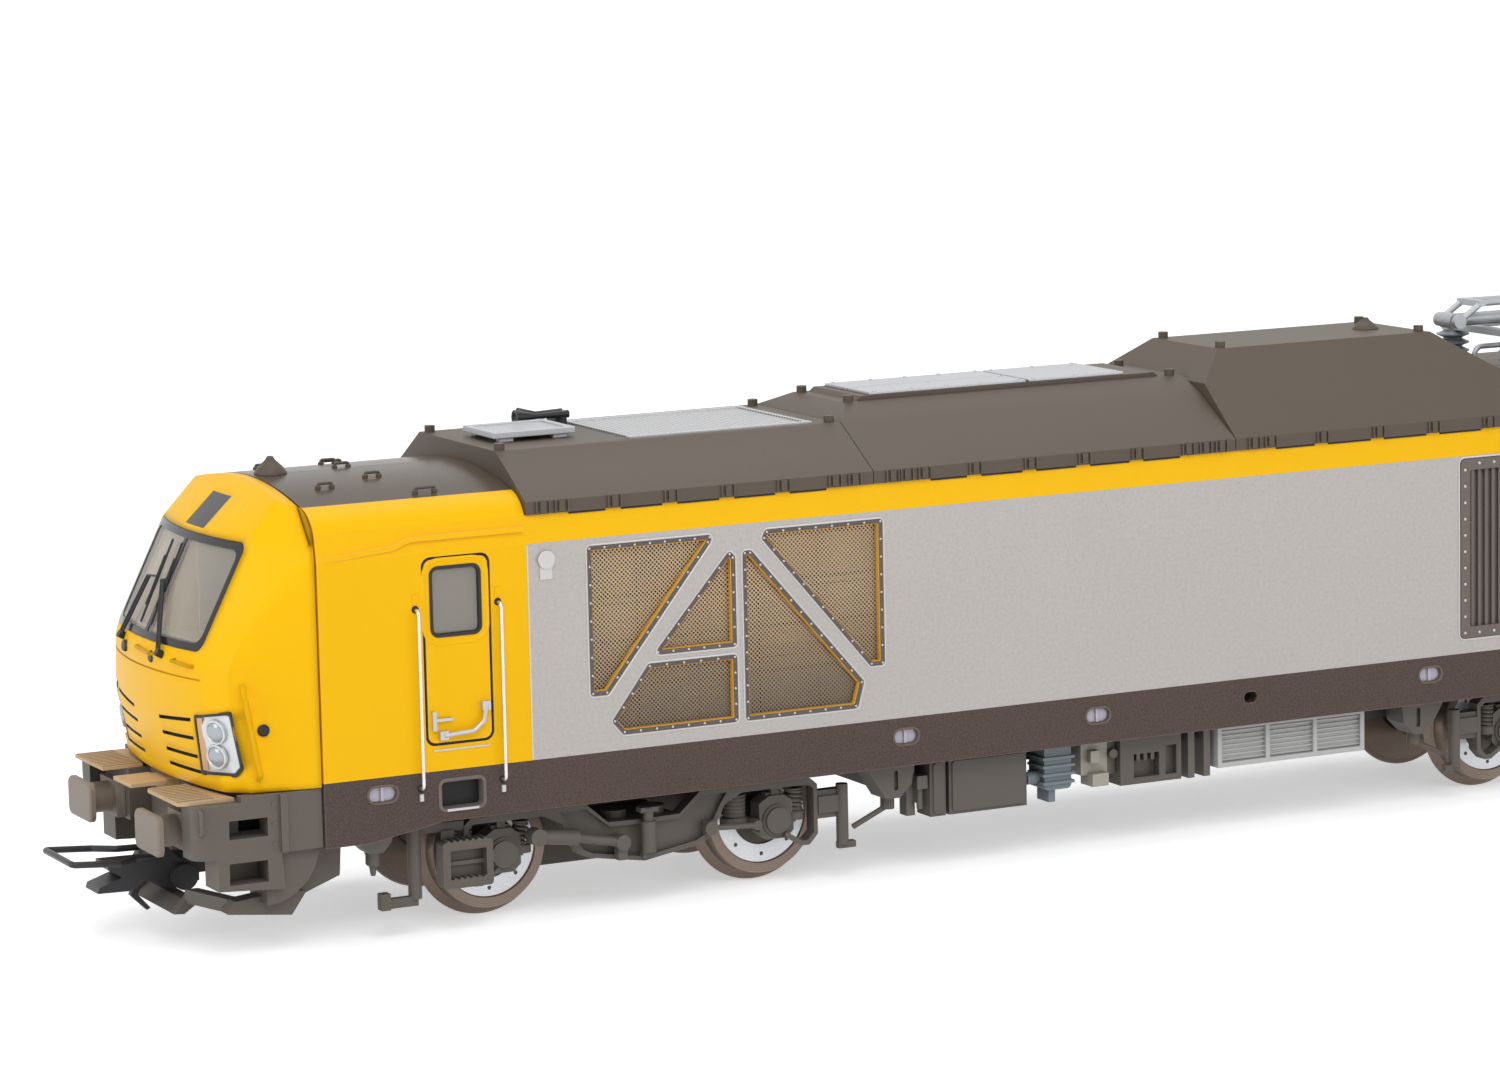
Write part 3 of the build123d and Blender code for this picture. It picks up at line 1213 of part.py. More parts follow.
save("body_shell", body_shell())
save("cab_front_1", other_end(front))
save("cab_front_2", front)
save("windscreen_frames", at_both_ends([screen_ring]))
save("windscreens", at_both_ends([screen]))
save("headlights", at_both_ends(on_both_sides([lamp])))
save("top_lamps", at_both_ends([lamp_strip()]))
save("wipers", at_both_ends(wipers))
save("front_skirt_1", other_end(skirt))
save("front_skirt_2", skirt)
save("end_treads", at_both_ends(end_treads()))
save("buffers", at_both_ends(on_both_sides([buffer()])))
save("door_windows", door_windows())
save("door_handrails", door_handrails())
save("door_handles", door_handles())
save("side_lamps", side_lamps())
save("roof_cover_1", roof_cover_1())
save("roof_cover_2", roof_cover_2())
save("roof_cover_3", roof_cover_3())
save("roof_cover_4", roof_cover_4())
save("roof_tray", roof_tray())
save("roof_mesh", roof_mesh())
save("roof_horns", roof_horns())
save("roof_panels", roof_panels())
save("roof_domes", roof_domes())
save("pantograph_insulators", insulators())
save("pantograph_frame", pantograph_frame())
save("pantograph_lower_arm", lower_arm())
save("pantograph_upper_arm", upper_arm())
save("pantograph_head", pantograph_head())
save("roof_conductor", roof_conductor())
save("intake_meshes", on_both_sides(intake_meshes()))
save("intake_cassettes", on_both_sides([intake_cassettes()]))
save("louvre_panels", on_both_sides([louvre_panel()]))
save("chassis", chassis())
save("motor_block", motor_block())
save("underframe_tanks", at_both_ends(on_both_sides([underframe_tank()])))
save("underframe_cases", on_both_sides(underframe_cases()))
save("air_gear", on_both_sides(air_gear() + [compressor()]) + on_both_sides(at_both_ends([drain_cone()])))
save("radiator_grids", on_both_sides([radiator_grid()]))
cab = cab_interior()
save("cab_interior_1", other_end(cab))
save("cab_interior_2", cab)

bogie_nodes = {
    "bogie_frame": [bogie_frame()],
    "gear_case": [gear_case()],
    "bogie_springs": on_both_sides([spring(*place) for place in outer_springs + inner_springs]),
    "bogie_dampers": on_both_sides(dampers()),
    "bogie_steps": on_both_sides([step_box()] + sand_pipes()),
}
for number, turn in ((1, lambda shape: shape), (2, other_end)):
    for node, shapes in bogie_nodes.items():
        save(f"{node}_{number}", [turn(at_pivot(shape)) for shape in shapes])

axle_x = [-pivot_x - axle_u, -pivot_x + axle_u, pivot_x - axle_u, pivot_x + axle_u]
pair = wheelset()
for number, x in enumerate(axle_x, start=1):
    save(f"wheelset_{number}", Pos(x, 0, tread_radius) * pair)

bar, loop = coupler_bar(), coupler_loop()
save("coupler_1", other_end(bar))
save("coupler_2", bar)
save("coupler_loop_1", other_end(loop))
save("coupler_loop_2", loop)
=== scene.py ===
import bpy
import bmesh
import json
import math
from mathutils import Matrix, Vector
from mathutils.bvhtree import BVHTree


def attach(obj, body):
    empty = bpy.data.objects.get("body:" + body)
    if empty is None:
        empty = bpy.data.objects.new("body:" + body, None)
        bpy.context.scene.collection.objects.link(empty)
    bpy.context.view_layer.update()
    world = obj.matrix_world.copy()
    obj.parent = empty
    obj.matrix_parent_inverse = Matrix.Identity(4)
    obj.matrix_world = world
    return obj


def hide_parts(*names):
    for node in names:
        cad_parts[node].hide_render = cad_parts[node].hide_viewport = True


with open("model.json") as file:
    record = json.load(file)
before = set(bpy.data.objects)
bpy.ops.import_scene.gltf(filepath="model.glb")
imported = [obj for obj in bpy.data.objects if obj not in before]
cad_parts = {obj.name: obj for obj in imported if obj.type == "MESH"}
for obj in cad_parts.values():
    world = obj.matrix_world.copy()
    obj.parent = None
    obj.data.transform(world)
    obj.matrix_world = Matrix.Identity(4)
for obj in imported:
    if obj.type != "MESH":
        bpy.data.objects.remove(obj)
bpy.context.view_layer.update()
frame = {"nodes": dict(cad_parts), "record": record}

# Studio
# The model stands on a plain pale floor under soft light, seen with a long lens from
# low in front of its right side.
MM = 0.001
RAIL_TOP = 1.0


def above_rail(z):
    """A height in metres from millimetres over the rail top."""
    return (z + RAIL_TOP) * MM


def place(x, y, z):
    """A point in metres from millimetres, with the height counted from the rail top."""
    return Vector((x * MM, y * MM, above_rail(z)))


def camera_axes(yaw, pitch, roll):
    """Right, up and backward directions of a camera, from angles in degrees."""
    a, e, r = (math.radians(v) for v in (yaw, pitch, roll))
    back = Vector((math.sin(a) * math.cos(e), -math.cos(a) * math.cos(e), math.sin(e)))
    right = (-back).cross(Vector((0, 0, 1))).normalized()
    up = right.cross(-back)
    return (math.cos(r) * right + math.sin(r) * up, math.cos(r) * up - math.sin(r) * right, back)


camera_data = bpy.data.cameras.new("camera")
camera_data.lens = 120.38
camera_data.sensor_width = 36
camera_data.clip_start = 0.01
camera_data.clip_end = 20
camera = bpy.data.objects.new("camera", camera_data)
camera.matrix_world = Matrix.Translation(place(-279.21, -474.262, 112.739)) @ Matrix(
    camera_axes(-26.572, 8.386, -1.252)).transposed().to_4x4()
bpy.context.scene.collection.objects.link(camera)
bpy.context.scene.camera = camera
bpy.context.scene.view_settings.view_transform = "Standard"


def join(tree, *pairs):
    """Link pairs of an output and an input."""
    for source, target in pairs:
        tree.links.new(source, target)


def wire_up(tree, value, socket):
    """Join a socket, or set a plain value."""
    if isinstance(value, bpy.types.NodeSocket):
        tree.links.new(value, socket)
    else:
        socket.default_value = value


def reckon(tree, operation, *values):
    """One step of arithmetic between sockets and numbers."""
    node = tree.nodes.new("ShaderNodeMath")
    node.operation = operation
    for slot, value in enumerate(values):
        wire_up(tree, value, node.inputs[slot])
    return node.outputs[0]


def seen_directly(tree):
    """A mask that is 1 for what the camera, a mirror or a glass shows, and 0 for light on the object."""
    path = tree.nodes.new("ShaderNodeLightPath").outputs
    mirrored = reckon(tree, "MAXIMUM", path["Is Camera Ray"], path["Is Glossy Ray"])
    return reckon(tree, "MAXIMUM", mirrored, path["Is Transmission Ray"])


world = bpy.data.worlds.new("studio_world")
world.use_nodes = True
bpy.context.scene.world = world
sky = world.node_tree
room = sky.nodes["Background"]
room.inputs["Color"].default_value = (0.96, 0.98, 1.0, 1)
room.inputs["Strength"].default_value = 0.36
white = sky.nodes.new("ShaderNodeBackground")
white.inputs["Color"].default_value = (1, 1, 1, 1)
white.inputs["Strength"].default_value = 1.0
choose = sky.nodes.new("ShaderNodeMixShader")
join(sky, (seen_directly(sky), choose.inputs[0]), (room.outputs[0], choose.inputs[1]),
     (white.outputs[0], choose.inputs[2]), (choose.outputs[0], sky.nodes["World Output"].inputs["Surface"]))

# Softboxes: name, centre, width and power in watts, all aimed at the middle of the body
softboxes = [
    ("key_softbox", (-190, -430, 470), 360, 1.5),
    ("front_softbox", (-640, -60, 240), 320, 1.1),
    ("top_softbox", (60, 140, 620), 520, 1.3),
    ("side_softbox", (280, -560, 200), 360, 0.55),
]
for name, centre, width, power in softboxes:
    lamp_data = bpy.data.lights.new(name, "AREA")
    lamp_data.shape = "SQUARE"
    lamp_data.size = width * MM
    lamp_data.energy = power
    lamp = bpy.data.objects.new(name, lamp_data)
    lamp.location = place(*centre)
    lamp.rotation_euler = (place(-30, 0, 25) - lamp.location).to_track_quat("-Z", "Y").to_euler()
    bpy.context.scene.collection.objects.link(lamp)

floor_mesh = bpy.data.meshes.new("floor")
floor_reach = 6.0
floor_mesh.from_pydata([(-floor_reach, -floor_reach, 0), (floor_reach, -floor_reach, 0),
                        (floor_reach, floor_reach, 0), (-floor_reach, floor_reach, 0)], [], [(0, 1, 2, 3)])
floor = bpy.data.objects.new("floor", floor_mesh)
bpy.context.scene.collection.objects.link(floor)
floor_paint = bpy.data.materials.new("floor_white")
floor_paint.use_nodes = True
floor_tree = floor_paint.node_tree
floor_base = floor_tree.nodes["Principled BSDF"]
floor_base.inputs["Base Color"].default_value = (0.93, 0.93, 0.935, 1)
floor_base.inputs["Roughness"].default_value = 0.9
floor_glow = floor_tree.nodes.new("ShaderNodeEmission")
floor_glow.inputs["Color"].default_value = (1, 1, 1, 1)
floor_coords = floor_tree.nodes.new("ShaderNodeTexCoord")
floor_distance = floor_tree.nodes.new("ShaderNodeVectorMath")
floor_distance.operation = "LENGTH"
floor_rise = floor_tree.nodes.new("ShaderNodeMapRange")
for label, value in (("From Min", 0.25), ("From Max", 1.6), ("To Min", 0.5), ("To Max", 0.95)):
    floor_rise.inputs[label].default_value = value
floor_seen = floor_tree.nodes.new("ShaderNodeMixShader")
floor_sum = floor_tree.nodes.new("ShaderNodeAddShader")
join(floor_tree,
     (floor_coords.outputs["Object"], floor_distance.inputs[0]),
     (floor_distance.outputs["Value"], floor_rise.inputs["Value"]),
     (floor_rise.outputs["Result"], floor_glow.inputs["Strength"]),
     (floor_base.outputs[0], floor_sum.inputs[0]),
     (floor_glow.outputs[0], floor_sum.inputs[1]),
     (seen_directly(floor_tree), floor_seen.inputs[0]),
     (floor_base.outputs[0], floor_seen.inputs[1]),
     (floor_sum.outputs[0], floor_seen.inputs[2]),
     (floor_seen.outputs[0], floor_tree.nodes["Material Output"].inputs["Surface"]))
floor_mesh.materials.append(floor_paint)

# Body shell
# A cast metal shell, sprayed silver on the walls and yellow at the cabs, with brown
# sparkling sole bars and matt grey cab roofs. It drops over the chassis from above.
def effect(name, inputs, outputs):
    """An empty shader group with named number inputs and outputs."""
    group = bpy.data.node_groups.new(name, "ShaderNodeTree")
    for label, default in inputs.items():
        socket = group.interface.new_socket(label, in_out="INPUT", socket_type="NodeSocketFloat")
        socket.default_value = default
    for label in outputs:
        group.interface.new_socket(label, in_out="OUTPUT", socket_type="NodeSocketFloat")
    return group, group.nodes.new("NodeGroupInput").outputs, group.nodes.new("NodeGroupOutput").inputs


def noise(tree, scale, detail=2.0, roughness=0.5):
    """Noise over the object's own space, as a value around a half."""
    coords = tree.nodes.new("ShaderNodeTexCoord")
    node = tree.nodes.new("ShaderNodeTexNoise")
    wire_up(tree, scale, node.inputs["Scale"])
    node.inputs["Detail"].default_value = detail
    node.inputs["Roughness"].default_value = roughness
    tree.links.new(coords.outputs["Object"], node.inputs["Vector"])
    return node.outputs[0]


def make_paint_grain():
    """Grain of sprayed paint: fine sparkle, slow drift of tone and a bump height."""
    group, given, result = effect("paint_grain", {"Grain": 4000.0, "Sparkle": 0.3, "Drift": 0.1},
                                  ["Tone", "Height"])
    fine = noise(group, given["Grain"], 2.0, 0.7)
    slow = noise(group, 90.0, 4.0)
    sparkle = reckon(group, "MULTIPLY", reckon(group, "SUBTRACT", fine, 0.5), given["Sparkle"])
    drift = reckon(group, "MULTIPLY", reckon(group, "SUBTRACT", slow, 0.5), given["Drift"])
    group.links.new(reckon(group, "ADD", reckon(group, "ADD", sparkle, drift), 1.0), result["Tone"])
    group.links.new(fine, result["Height"])
    return group


def make_edge_highlight():
    """A mask along sharp edges, for a painted highlight where a rounded edge would catch the light."""
    group, given, result = effect("edge_highlight", {"Width": 0.0002, "Strength": 1.0}, ["Mask"])
    bevel = group.nodes.new("ShaderNodeBevel")
    bevel.samples = 4
    group.links.new(given["Width"], bevel.inputs["Radius"])
    geometry = group.nodes.new("ShaderNodeNewGeometry")
    dot = group.nodes.new("ShaderNodeVectorMath")
    dot.operation = "DOT_PRODUCT"
    group.links.new(bevel.outputs[0], dot.inputs[0])
    group.links.new(geometry.outputs["Normal"], dot.inputs[1])
    clamp = group.nodes.new("ShaderNodeClamp")
    turned = reckon(group, "SUBTRACT", 1.0, dot.outputs["Value"])
    group.links.new(reckon(group, "MULTIPLY", turned, given["Strength"]), clamp.inputs[0])
    group.links.new(clamp.outputs[0], result["Mask"])
    return group


def make_corner_shade_and_dust():
    """A mask in corners and grooves from ambient occlusion, for painted shade there together with dust."""
    group, given, result = effect("corner_shade_and_dust", {"Reach": 0.001, "Strength": 1.0}, ["Mask"])
    shade = group.nodes.new("ShaderNodeAmbientOcclusion")
    shade.samples = 6
    shade.only_local = True
    group.links.new(given["Reach"], shade.inputs["Distance"])
    clamp = group.nodes.new("ShaderNodeClamp")
    shut = reckon(group, "SUBTRACT", 1.0, shade.outputs["AO"])
    group.links.new(reckon(group, "MULTIPLY", shut, given["Strength"]), clamp.inputs[0])
    group.links.new(clamp.outputs[0], result["Mask"])
    return group


paint_grain = make_paint_grain()
edge_highlight = make_edge_highlight()
corner_shade_and_dust = make_corner_shade_and_dust()


def srgb(red, green, blue):
    """A linear colour from 0 to 255 display values."""
    def linear(value):
        value = value / 255
        return value / 12.92 if value <= 0.04045 else ((value + 0.055) / 1.055) ** 2.4
    return (linear(red), linear(green), linear(blue), 1.0)


class Finish:
    """A material as it is built up, with the steps that several finishes share."""

    def __init__(self, name, roughness=0.5, metallic=0.0, specular=0.5):
        self.material = bpy.data.materials.new(name)
        self.material.use_nodes = True
        self.tree = self.material.node_tree
        self.shader = self.tree.nodes["Principled BSDF"]
        self.shader.inputs["Roughness"].default_value = roughness
        self.shader.inputs["Metallic"].default_value = metallic
        self.shader.inputs["Specular IOR Level"].default_value = specular

    def add(self, group, **values):
        """Place a shader group with its own values."""
        node = self.tree.nodes.new("ShaderNodeGroup")
        node.node_tree = group
        for label, value in values.items():
            wire_up(self.tree, value, node.inputs[label])
        return node.outputs

    def over(self, mask, below, above):
        """One colour laid over another through a mask."""
        node = self.tree.nodes.new("ShaderNodeMix")
        node.data_type = "RGBA"
        for slot, value in ((0, mask), (6, below), (7, above)):
            wire_up(self.tree, value, node.inputs[slot])
        return node.outputs[2]

    def toned(self, colour, tone):
        """A colour made lighter or darker by a tone."""
        node = self.tree.nodes.new("ShaderNodeVectorMath")
        node.operation = "SCALE"
        if isinstance(colour, tuple):
            node.inputs[0].default_value = colour[:3]
        else:
            self.tree.links.new(colour, node.inputs[0])
        wire_up(self.tree, tone, node.inputs["Scale"])
        return node.outputs[0]

    def coat(self, colour):
        wire_up(self.tree, colour, self.shader.inputs["Base Color"])
        return self

    def bump(self, height, depth, strength=1.0):
        node = self.tree.nodes.new("ShaderNodeBump")
        node.inputs["Distance"].default_value = depth
        node.inputs["Strength"].default_value = strength
        self.tree.links.new(height, node.inputs["Height"])
        self.tree.links.new(node.outputs[0], self.shader.inputs["Normal"])
        return self

    def where(self):
        """The X, Y and height of a point of the surface, in metres."""
        coords = self.tree.nodes.new("ShaderNodeTexCoord")
        split = self.tree.nodes.new("ShaderNodeSeparateXYZ")
        self.tree.links.new(coords.outputs["Object"], split.inputs[0])
        return split.outputs[0], split.outputs[1], split.outputs[2]

    def math(self, operation, *values):
        return reckon(self.tree, operation, *values)


def moulding(name, colour, roughness=0.5, grain=6000.0, sparkle=0.15, drift=0.08, depth=0.00001, metallic=0.0,
             specular=0.35, edge=0.5, edge_colour=None, shade_and_dust=0.0, shade_and_dust_colour=None):
    """Paint or fine-grained plastic from display colours, with corners painted darker as shade and dust, and
    edges painted paler as a highlight.
    """
    finish = Finish(name, roughness, metallic, specular)
    grained = finish.add(paint_grain, Grain=grain, Sparkle=sparkle, Drift=drift)
    linear = srgb(*colour)
    surface = finish.toned(linear, grained["Tone"])
    # Corners and grooves painted darker: painted shade, together with dust
    if shade_and_dust > 0:
        shaded_corners = finish.add(corner_shade_and_dust, Reach=0.0012, Strength=shade_and_dust)
        surface = finish.over(shaded_corners["Mask"], surface, srgb(*shade_and_dust_colour))
    # Edges painted paler as a painted highlight, in the given edge colour when one is set
    paler = tuple(min(1.0, part * 1.6 + 0.02) for part in linear[:3]) + (1.0,)
    pale = srgb(*edge_colour) if edge_colour else paler
    light = finish.add(edge_highlight, Width=0.00012, Strength=edge)
    finish.coat(finish.over(light["Mask"], surface, pale)).bump(grained["Height"], depth)
    return finish.material


cab_yellow = (248, 190, 0)
wall_silver = (182, 177, 173)
sole_brown = (84, 71, 67)
roof_grey = (86, 75, 64)
band_x = 75.8
waist_z = 38.6
sole_z = 16.44
cab_roof_z = 43.75
skin_y = 16.35
eaves_z = 41.0


def make_body_paint():
    """Silver walls, yellow cabs and top band, sparkling brown sole bars, grey cab roofs."""
    finish = Finish("body_paint", specular=0.15)
    x, y, z = finish.where()
    fine = finish.add(paint_grain, Grain=5200.0, Sparkle=0.04, Drift=0.03)
    orange_peel = finish.add(paint_grain, Grain=2600.0, Sparkle=0.34, Drift=0.06)
    sparkling = finish.add(paint_grain, Grain=5200.0, Sparkle=1.9, Drift=0.10)
    matt = finish.add(paint_grain, Grain=6000.0, Sparkle=0.25, Drift=0.10)
    in_middle = finish.math("LESS_THAN", finish.math("ABSOLUTE", x), band_x * MM)
    on_silver = finish.math("MULTIPLY", in_middle, finish.math("LESS_THAN", z, above_rail(waist_z)))
    on_sole = finish.math("LESS_THAN", z, above_rail(sole_z))
    on_roof = finish.math("GREATER_THAN", z, above_rail(cab_roof_z))
    behind = finish.math("LESS_THAN", finish.math("ABSOLUTE", y), skin_y * MM)
    inside = finish.math("MULTIPLY", behind, finish.math("LESS_THAN", z, above_rail(eaves_z)))
    colour = finish.over(on_silver, finish.toned(srgb(*cab_yellow), fine["Tone"]),
                         finish.toned(srgb(*wall_silver), orange_peel["Tone"]))
    colour = finish.over(on_roof, colour, finish.toned(srgb(*roof_grey), matt["Tone"]))
    colour = finish.over(on_sole, colour, finish.toned(srgb(*sole_brown), sparkling["Tone"]))
    colour = finish.over(inside, colour, srgb(96, 92, 88))
    # Sharp edges painted pale, as a painted highlight
    light = finish.add(edge_highlight, Width=0.00014, Strength=0.5)
    finish.coat(finish.over(light["Mask"], colour, srgb(232, 222, 205)))
    rough = finish.math("ADD", 0.4, finish.math("MULTIPLY", on_sole, 0.12))
    rough = finish.math("SUBTRACT", rough, finish.math("MULTIPLY", on_roof, 0.14))
    finish.tree.links.new(rough, finish.shader.inputs["Roughness"])
    finish.tree.links.new(finish.math("MULTIPLY", on_silver, 0.2), finish.shader.inputs["Metallic"])
    height = finish.math("MULTIPLY", orange_peel["Height"], finish.math("ADD", 0.25, on_silver))
    return finish.bump(height, 0.000035).material


def dress(material, *names):
    """Give CAD nodes their finish."""
    for name in names:
        mesh = frame["nodes"][name].data
        mesh.materials.clear()
        mesh.materials.append(material)


body_of = {node: body for body, nodes in frame["record"]["behaviour"]["bodies"].items() for node in nodes}


def fit(name, mesh, material, node, replace=False):
    """Put a new mesh on the body that carries a CAD node, in that node's place or on it."""
    piece = bpy.data.objects.new(name, mesh)
    bpy.context.scene.collection.objects.link(piece)
    mesh.materials.clear()
    mesh.materials.append(material)
    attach(piece, body_of[node])
    if replace:
        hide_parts(node)
    return piece


def soften(node, material, width=0.1, angle=32):
    """A copy of a CAD node with the small round edges of a moulding, in its place."""
    mesh = frame["nodes"][node].data.copy()
    mesh.name = node + "_moulded"
    bm = bmesh.new()
    bm.from_mesh(mesh)
    bmesh.ops.remove_doubles(bm, verts=bm.verts, dist=0.000002)
    bmesh.ops.dissolve_limit(bm, angle_limit=math.radians(0.6), verts=bm.verts, edges=bm.edges)
    bm.to_mesh(mesh)
    bm.free()
    if "custom_normal" in mesh.attributes:
        mesh.attributes.remove(mesh.attributes["custom_normal"])
    mesh.shade_smooth()
    mesh.set_sharp_from_angle(angle=math.radians(angle))
    piece = fit(node + "_moulded", mesh, material, node, replace=True)
    rounding = piece.modifiers.new("edges", "BEVEL")
    rounding.width = width * MM
    rounding.segments = 2
    rounding.limit_method = "ANGLE"
    rounding.angle_limit = math.radians(angle)
    rounding.harden_normals = True
    rounding.use_clamp_overlap = True
    return piece


dress(make_body_paint(), "body_shell")

# Doors and the openings of the sole bars
# Moulded with the shell. The joint round each door is painted black, its window has a
# rubber gasket, and bright handrail wires are pushed into holes beside it.
side_y = 17.3


def shrunk(outline, inset):
    """A convex outline with every edge moved in."""
    count = len(outline)
    area = sum(outline[n - 1][0] * outline[n][1] - outline[n][0] * outline[n - 1][1] for n in range(count))
    turn = math.copysign(1, area)
    points = []
    for n in range(count):
        corner = Vector(outline[n])
        incoming = (corner - Vector(outline[n - 1])).normalized()
        outgoing = (Vector(outline[(n + 1) % count]) - corner).normalized()
        reach = inset / max(0.2, 1 + incoming.dot(outgoing))
        normals = Vector((-incoming.y - outgoing.y, incoming.x + outgoing.x)) * turn
        points.append(tuple(corner + normals * reach))
    return points


def rounded(outline, corner, steps=5):
    """An outline with round corners."""
    count = len(outline)
    points = []
    for n in range(count):
        here = Vector(outline[n])
        back = (Vector(outline[n - 1]) - here).normalized()
        ahead = (Vector(outline[(n + 1) % count]) - here).normalized()
        half = back.angle(ahead) / 2
        centre = here + (back + ahead).normalized() * corner / math.sin(half)
        start = here + back * corner / math.tan(half) - centre
        finish = here + ahead * corner / math.tan(half) - centre
        bend = math.atan2(start.x * finish.y - start.y * finish.x, start.dot(finish))
        for step in range(steps + 1):
            points.append(tuple(centre + Matrix.Rotation(bend * step / steps, 2) @ start))
    return points


def rectangle(x_span, z_span):
    return [(x_span[0], z_span[0]), (x_span[1], z_span[0]), (x_span[1], z_span[1]), (x_span[0], z_span[1])]


def circle(middle, across, other, radius, sides):
    angles = [2 * math.pi * side / sides for side in range(sides)]
    return [middle + (across * math.cos(a) + other * math.sin(a)) * radius for a in angles]


class Work:
    """A mesh in the making, in millimetres with heights from the rail top."""

    def __init__(self):
        self.bm = bmesh.new()

    def loft(self, loops, shut=True, capped=False):
        """Skin between loops of points that have the same count."""
        rows = [[self.bm.verts.new(point) for point in loop] for loop in loops]
        count = len(rows[0])
        for low, high in zip(rows, rows[1:]):
            for n in range(count if shut else count - 1):
                far = (n + 1) % count
                self.bm.faces.new((low[n], low[far], high[far], high[n]))
        if capped:
            self.bm.faces.new(rows[0][::-1])
            self.bm.faces.new(rows[-1])
        return self

    def block(self, x_span, y_span, z_span):
        loops = [[(x, y, z) for x, y in rectangle(x_span, y_span)] for z in z_span]
        return self.loft(loops, capped=True)

    def wall_ring(self, outline, corner, profile):
        """A ring in the side wall at -Y, from pairs of inset and height over the wall."""
        loops = []
        for inset, height in profile:
            points = rounded(shrunk(outline, inset), max(corner - inset, 0.04))
            loops.append([(x, -side_y - height, z) for x, z in points])
        return self.loft(loops)

    def sheet(self, points):
        self.bm.faces.new([self.bm.verts.new(point) for point in points])
        return self

    def tube(self, points, radius, sides=8):
        """A round wire through points."""
        path = [Vector(point) for point in points]
        across = None
        loops = []
        for n, here in enumerate(path):
            ahead = (path[min(n + 1, len(path) - 1)] - path[max(n - 1, 0)]).normalized()
            if across is None:
                across = ahead.orthogonal().normalized()
            across = (across - ahead * across.dot(ahead)).normalized()
            loops.append(circle(here, across, ahead.cross(across), radius, sides))
        return self.loft(loops, capped=True)

    def turned(self, centre, axis, profile, sides=20):
        """A turned piece from pairs of radius and height along an axis."""
        axis = Vector(axis).normalized()
        across = axis.orthogonal().normalized()
        loops = [circle(Vector(centre) + axis * height, across, axis.cross(across), radius, sides)
                 for radius, height in profile]
        return self.loft(loops, capped=True)

    def repeat(self, *axes):
        """Mirror everything made so far, over to the other side or the other end."""
        for axis in axes:
            geometry = self.bm.verts[:] + self.bm.edges[:] + self.bm.faces[:]
            copy = bmesh.ops.duplicate(self.bm, geom=geometry)["geom"]
            for part in copy:
                if isinstance(part, bmesh.types.BMVert):
                    part.co["XY".index(axis)] *= -1
            flipped = [part for part in copy if isinstance(part, bmesh.types.BMFace)]
            bmesh.ops.reverse_faces(self.bm, faces=flipped)
        return self

    def made(self, name):
        """The finished mesh in metres, smooth except at its sharp edges."""
        for vert in self.bm.verts:
            vert.co = place(*vert.co)
        mesh = bpy.data.meshes.new(name)
        self.bm.to_mesh(mesh)
        self.bm.free()
        mesh.shade_smooth()
        mesh.set_sharp_from_angle(angle=math.radians(35))
        return mesh


def mount(name, work, material, node="body_shell", replace=False):
    """Turn finished work into a piece on the body of a CAD node."""
    return fit(name, work.made(name), material, node, replace)


door_span = (-87.45, -79.95), (19.0, 38.2)
window_span = (-86.6, -81.0), (30.0, 37.2)
step_span = (-85.9, -81.45), (12.55, 15.2)
joint_and_shade_black = moulding("joint_and_shade_black", (20, 18, 18), roughness=0.6, sparkle=0.1, edge=0.1)
rubber = moulding("window_rubber", (36, 33, 34), roughness=0.42, sparkle=0.15, edge=0.5)
yellow_trim = moulding("yellow_trim", cab_yellow, roughness=0.4, specular=0.15, sparkle=0.04, drift=0.03,
                       edge=0.15, edge_colour=(255, 214, 60))
silver_trim = moulding("silver_trim", (190, 188, 186), roughness=0.35, sparkle=0.3, metallic=0.5)
joint = Work().wall_ring(rectangle(*door_span), 1.0, [(0.01, -0.14), (0.29, -0.14), (0.29, -0.2)])
mount("door_joints", joint.repeat("X", "Y"), joint_and_shade_black)
gasket = Work().wall_ring(rectangle(*window_span), 0.9,
                          [(-0.04, -0.1), (-0.02, 0.09), (0.1, 0.12), (0.3, 0.08), (0.4, -0.22)])
mount("door_gaskets", gasket.repeat("X", "Y"), rubber)
raised = Work().wall_ring(rectangle(*window_span), 0.9,
                          [(-0.85, 0.0), (-0.78, 0.07), (-0.5, 0.07), (-0.4, 0.0)])
for rail_x in (-88.2, -79.2):
    raised.block((rail_x - 0.3, rail_x + 0.3), (-side_y - 0.14, -side_y), (33.6, 34.6))
mount("door_mouldings", raised.repeat("X", "Y"), yellow_trim)
sill = Work().block((-86.7, -80.6), (-side_y - 0.1, -side_y), (18.45, 18.62))
for rail_x in (-88.2, -79.2):
    sill.block((rail_x - 0.2, rail_x + 0.2), (-side_y - 0.3, -side_y), (13.6, 14.3))
sill.block((-75.87, -75.72), (-side_y - 0.04, -side_y), (16.6, 38.45))
step_x, step_z = step_span
sill.block((step_x[0] + 0.5, step_x[1] - 0.5), (-side_y - 0.16, -side_y + 0.1),
           (step_z[0] - 0.34, step_z[0] - 0.1))
surround = Work().wall_ring(rectangle(*step_span), 0.4,
                            [(-0.42, -0.02), (-0.36, 0.12), (-0.1, 0.12), (0.04, -0.2), (0.06, -0.9)])
mount("door_sills", sill.repeat("X", "Y"), silver_trim)
surround_paint = moulding("surround_paint", (108, 98, 92), roughness=0.45, sparkle=1.0, edge=0.9,
                          edge_colour=(168, 158, 150))
mount("step_surrounds", surround.repeat("X", "Y"), surround_paint)
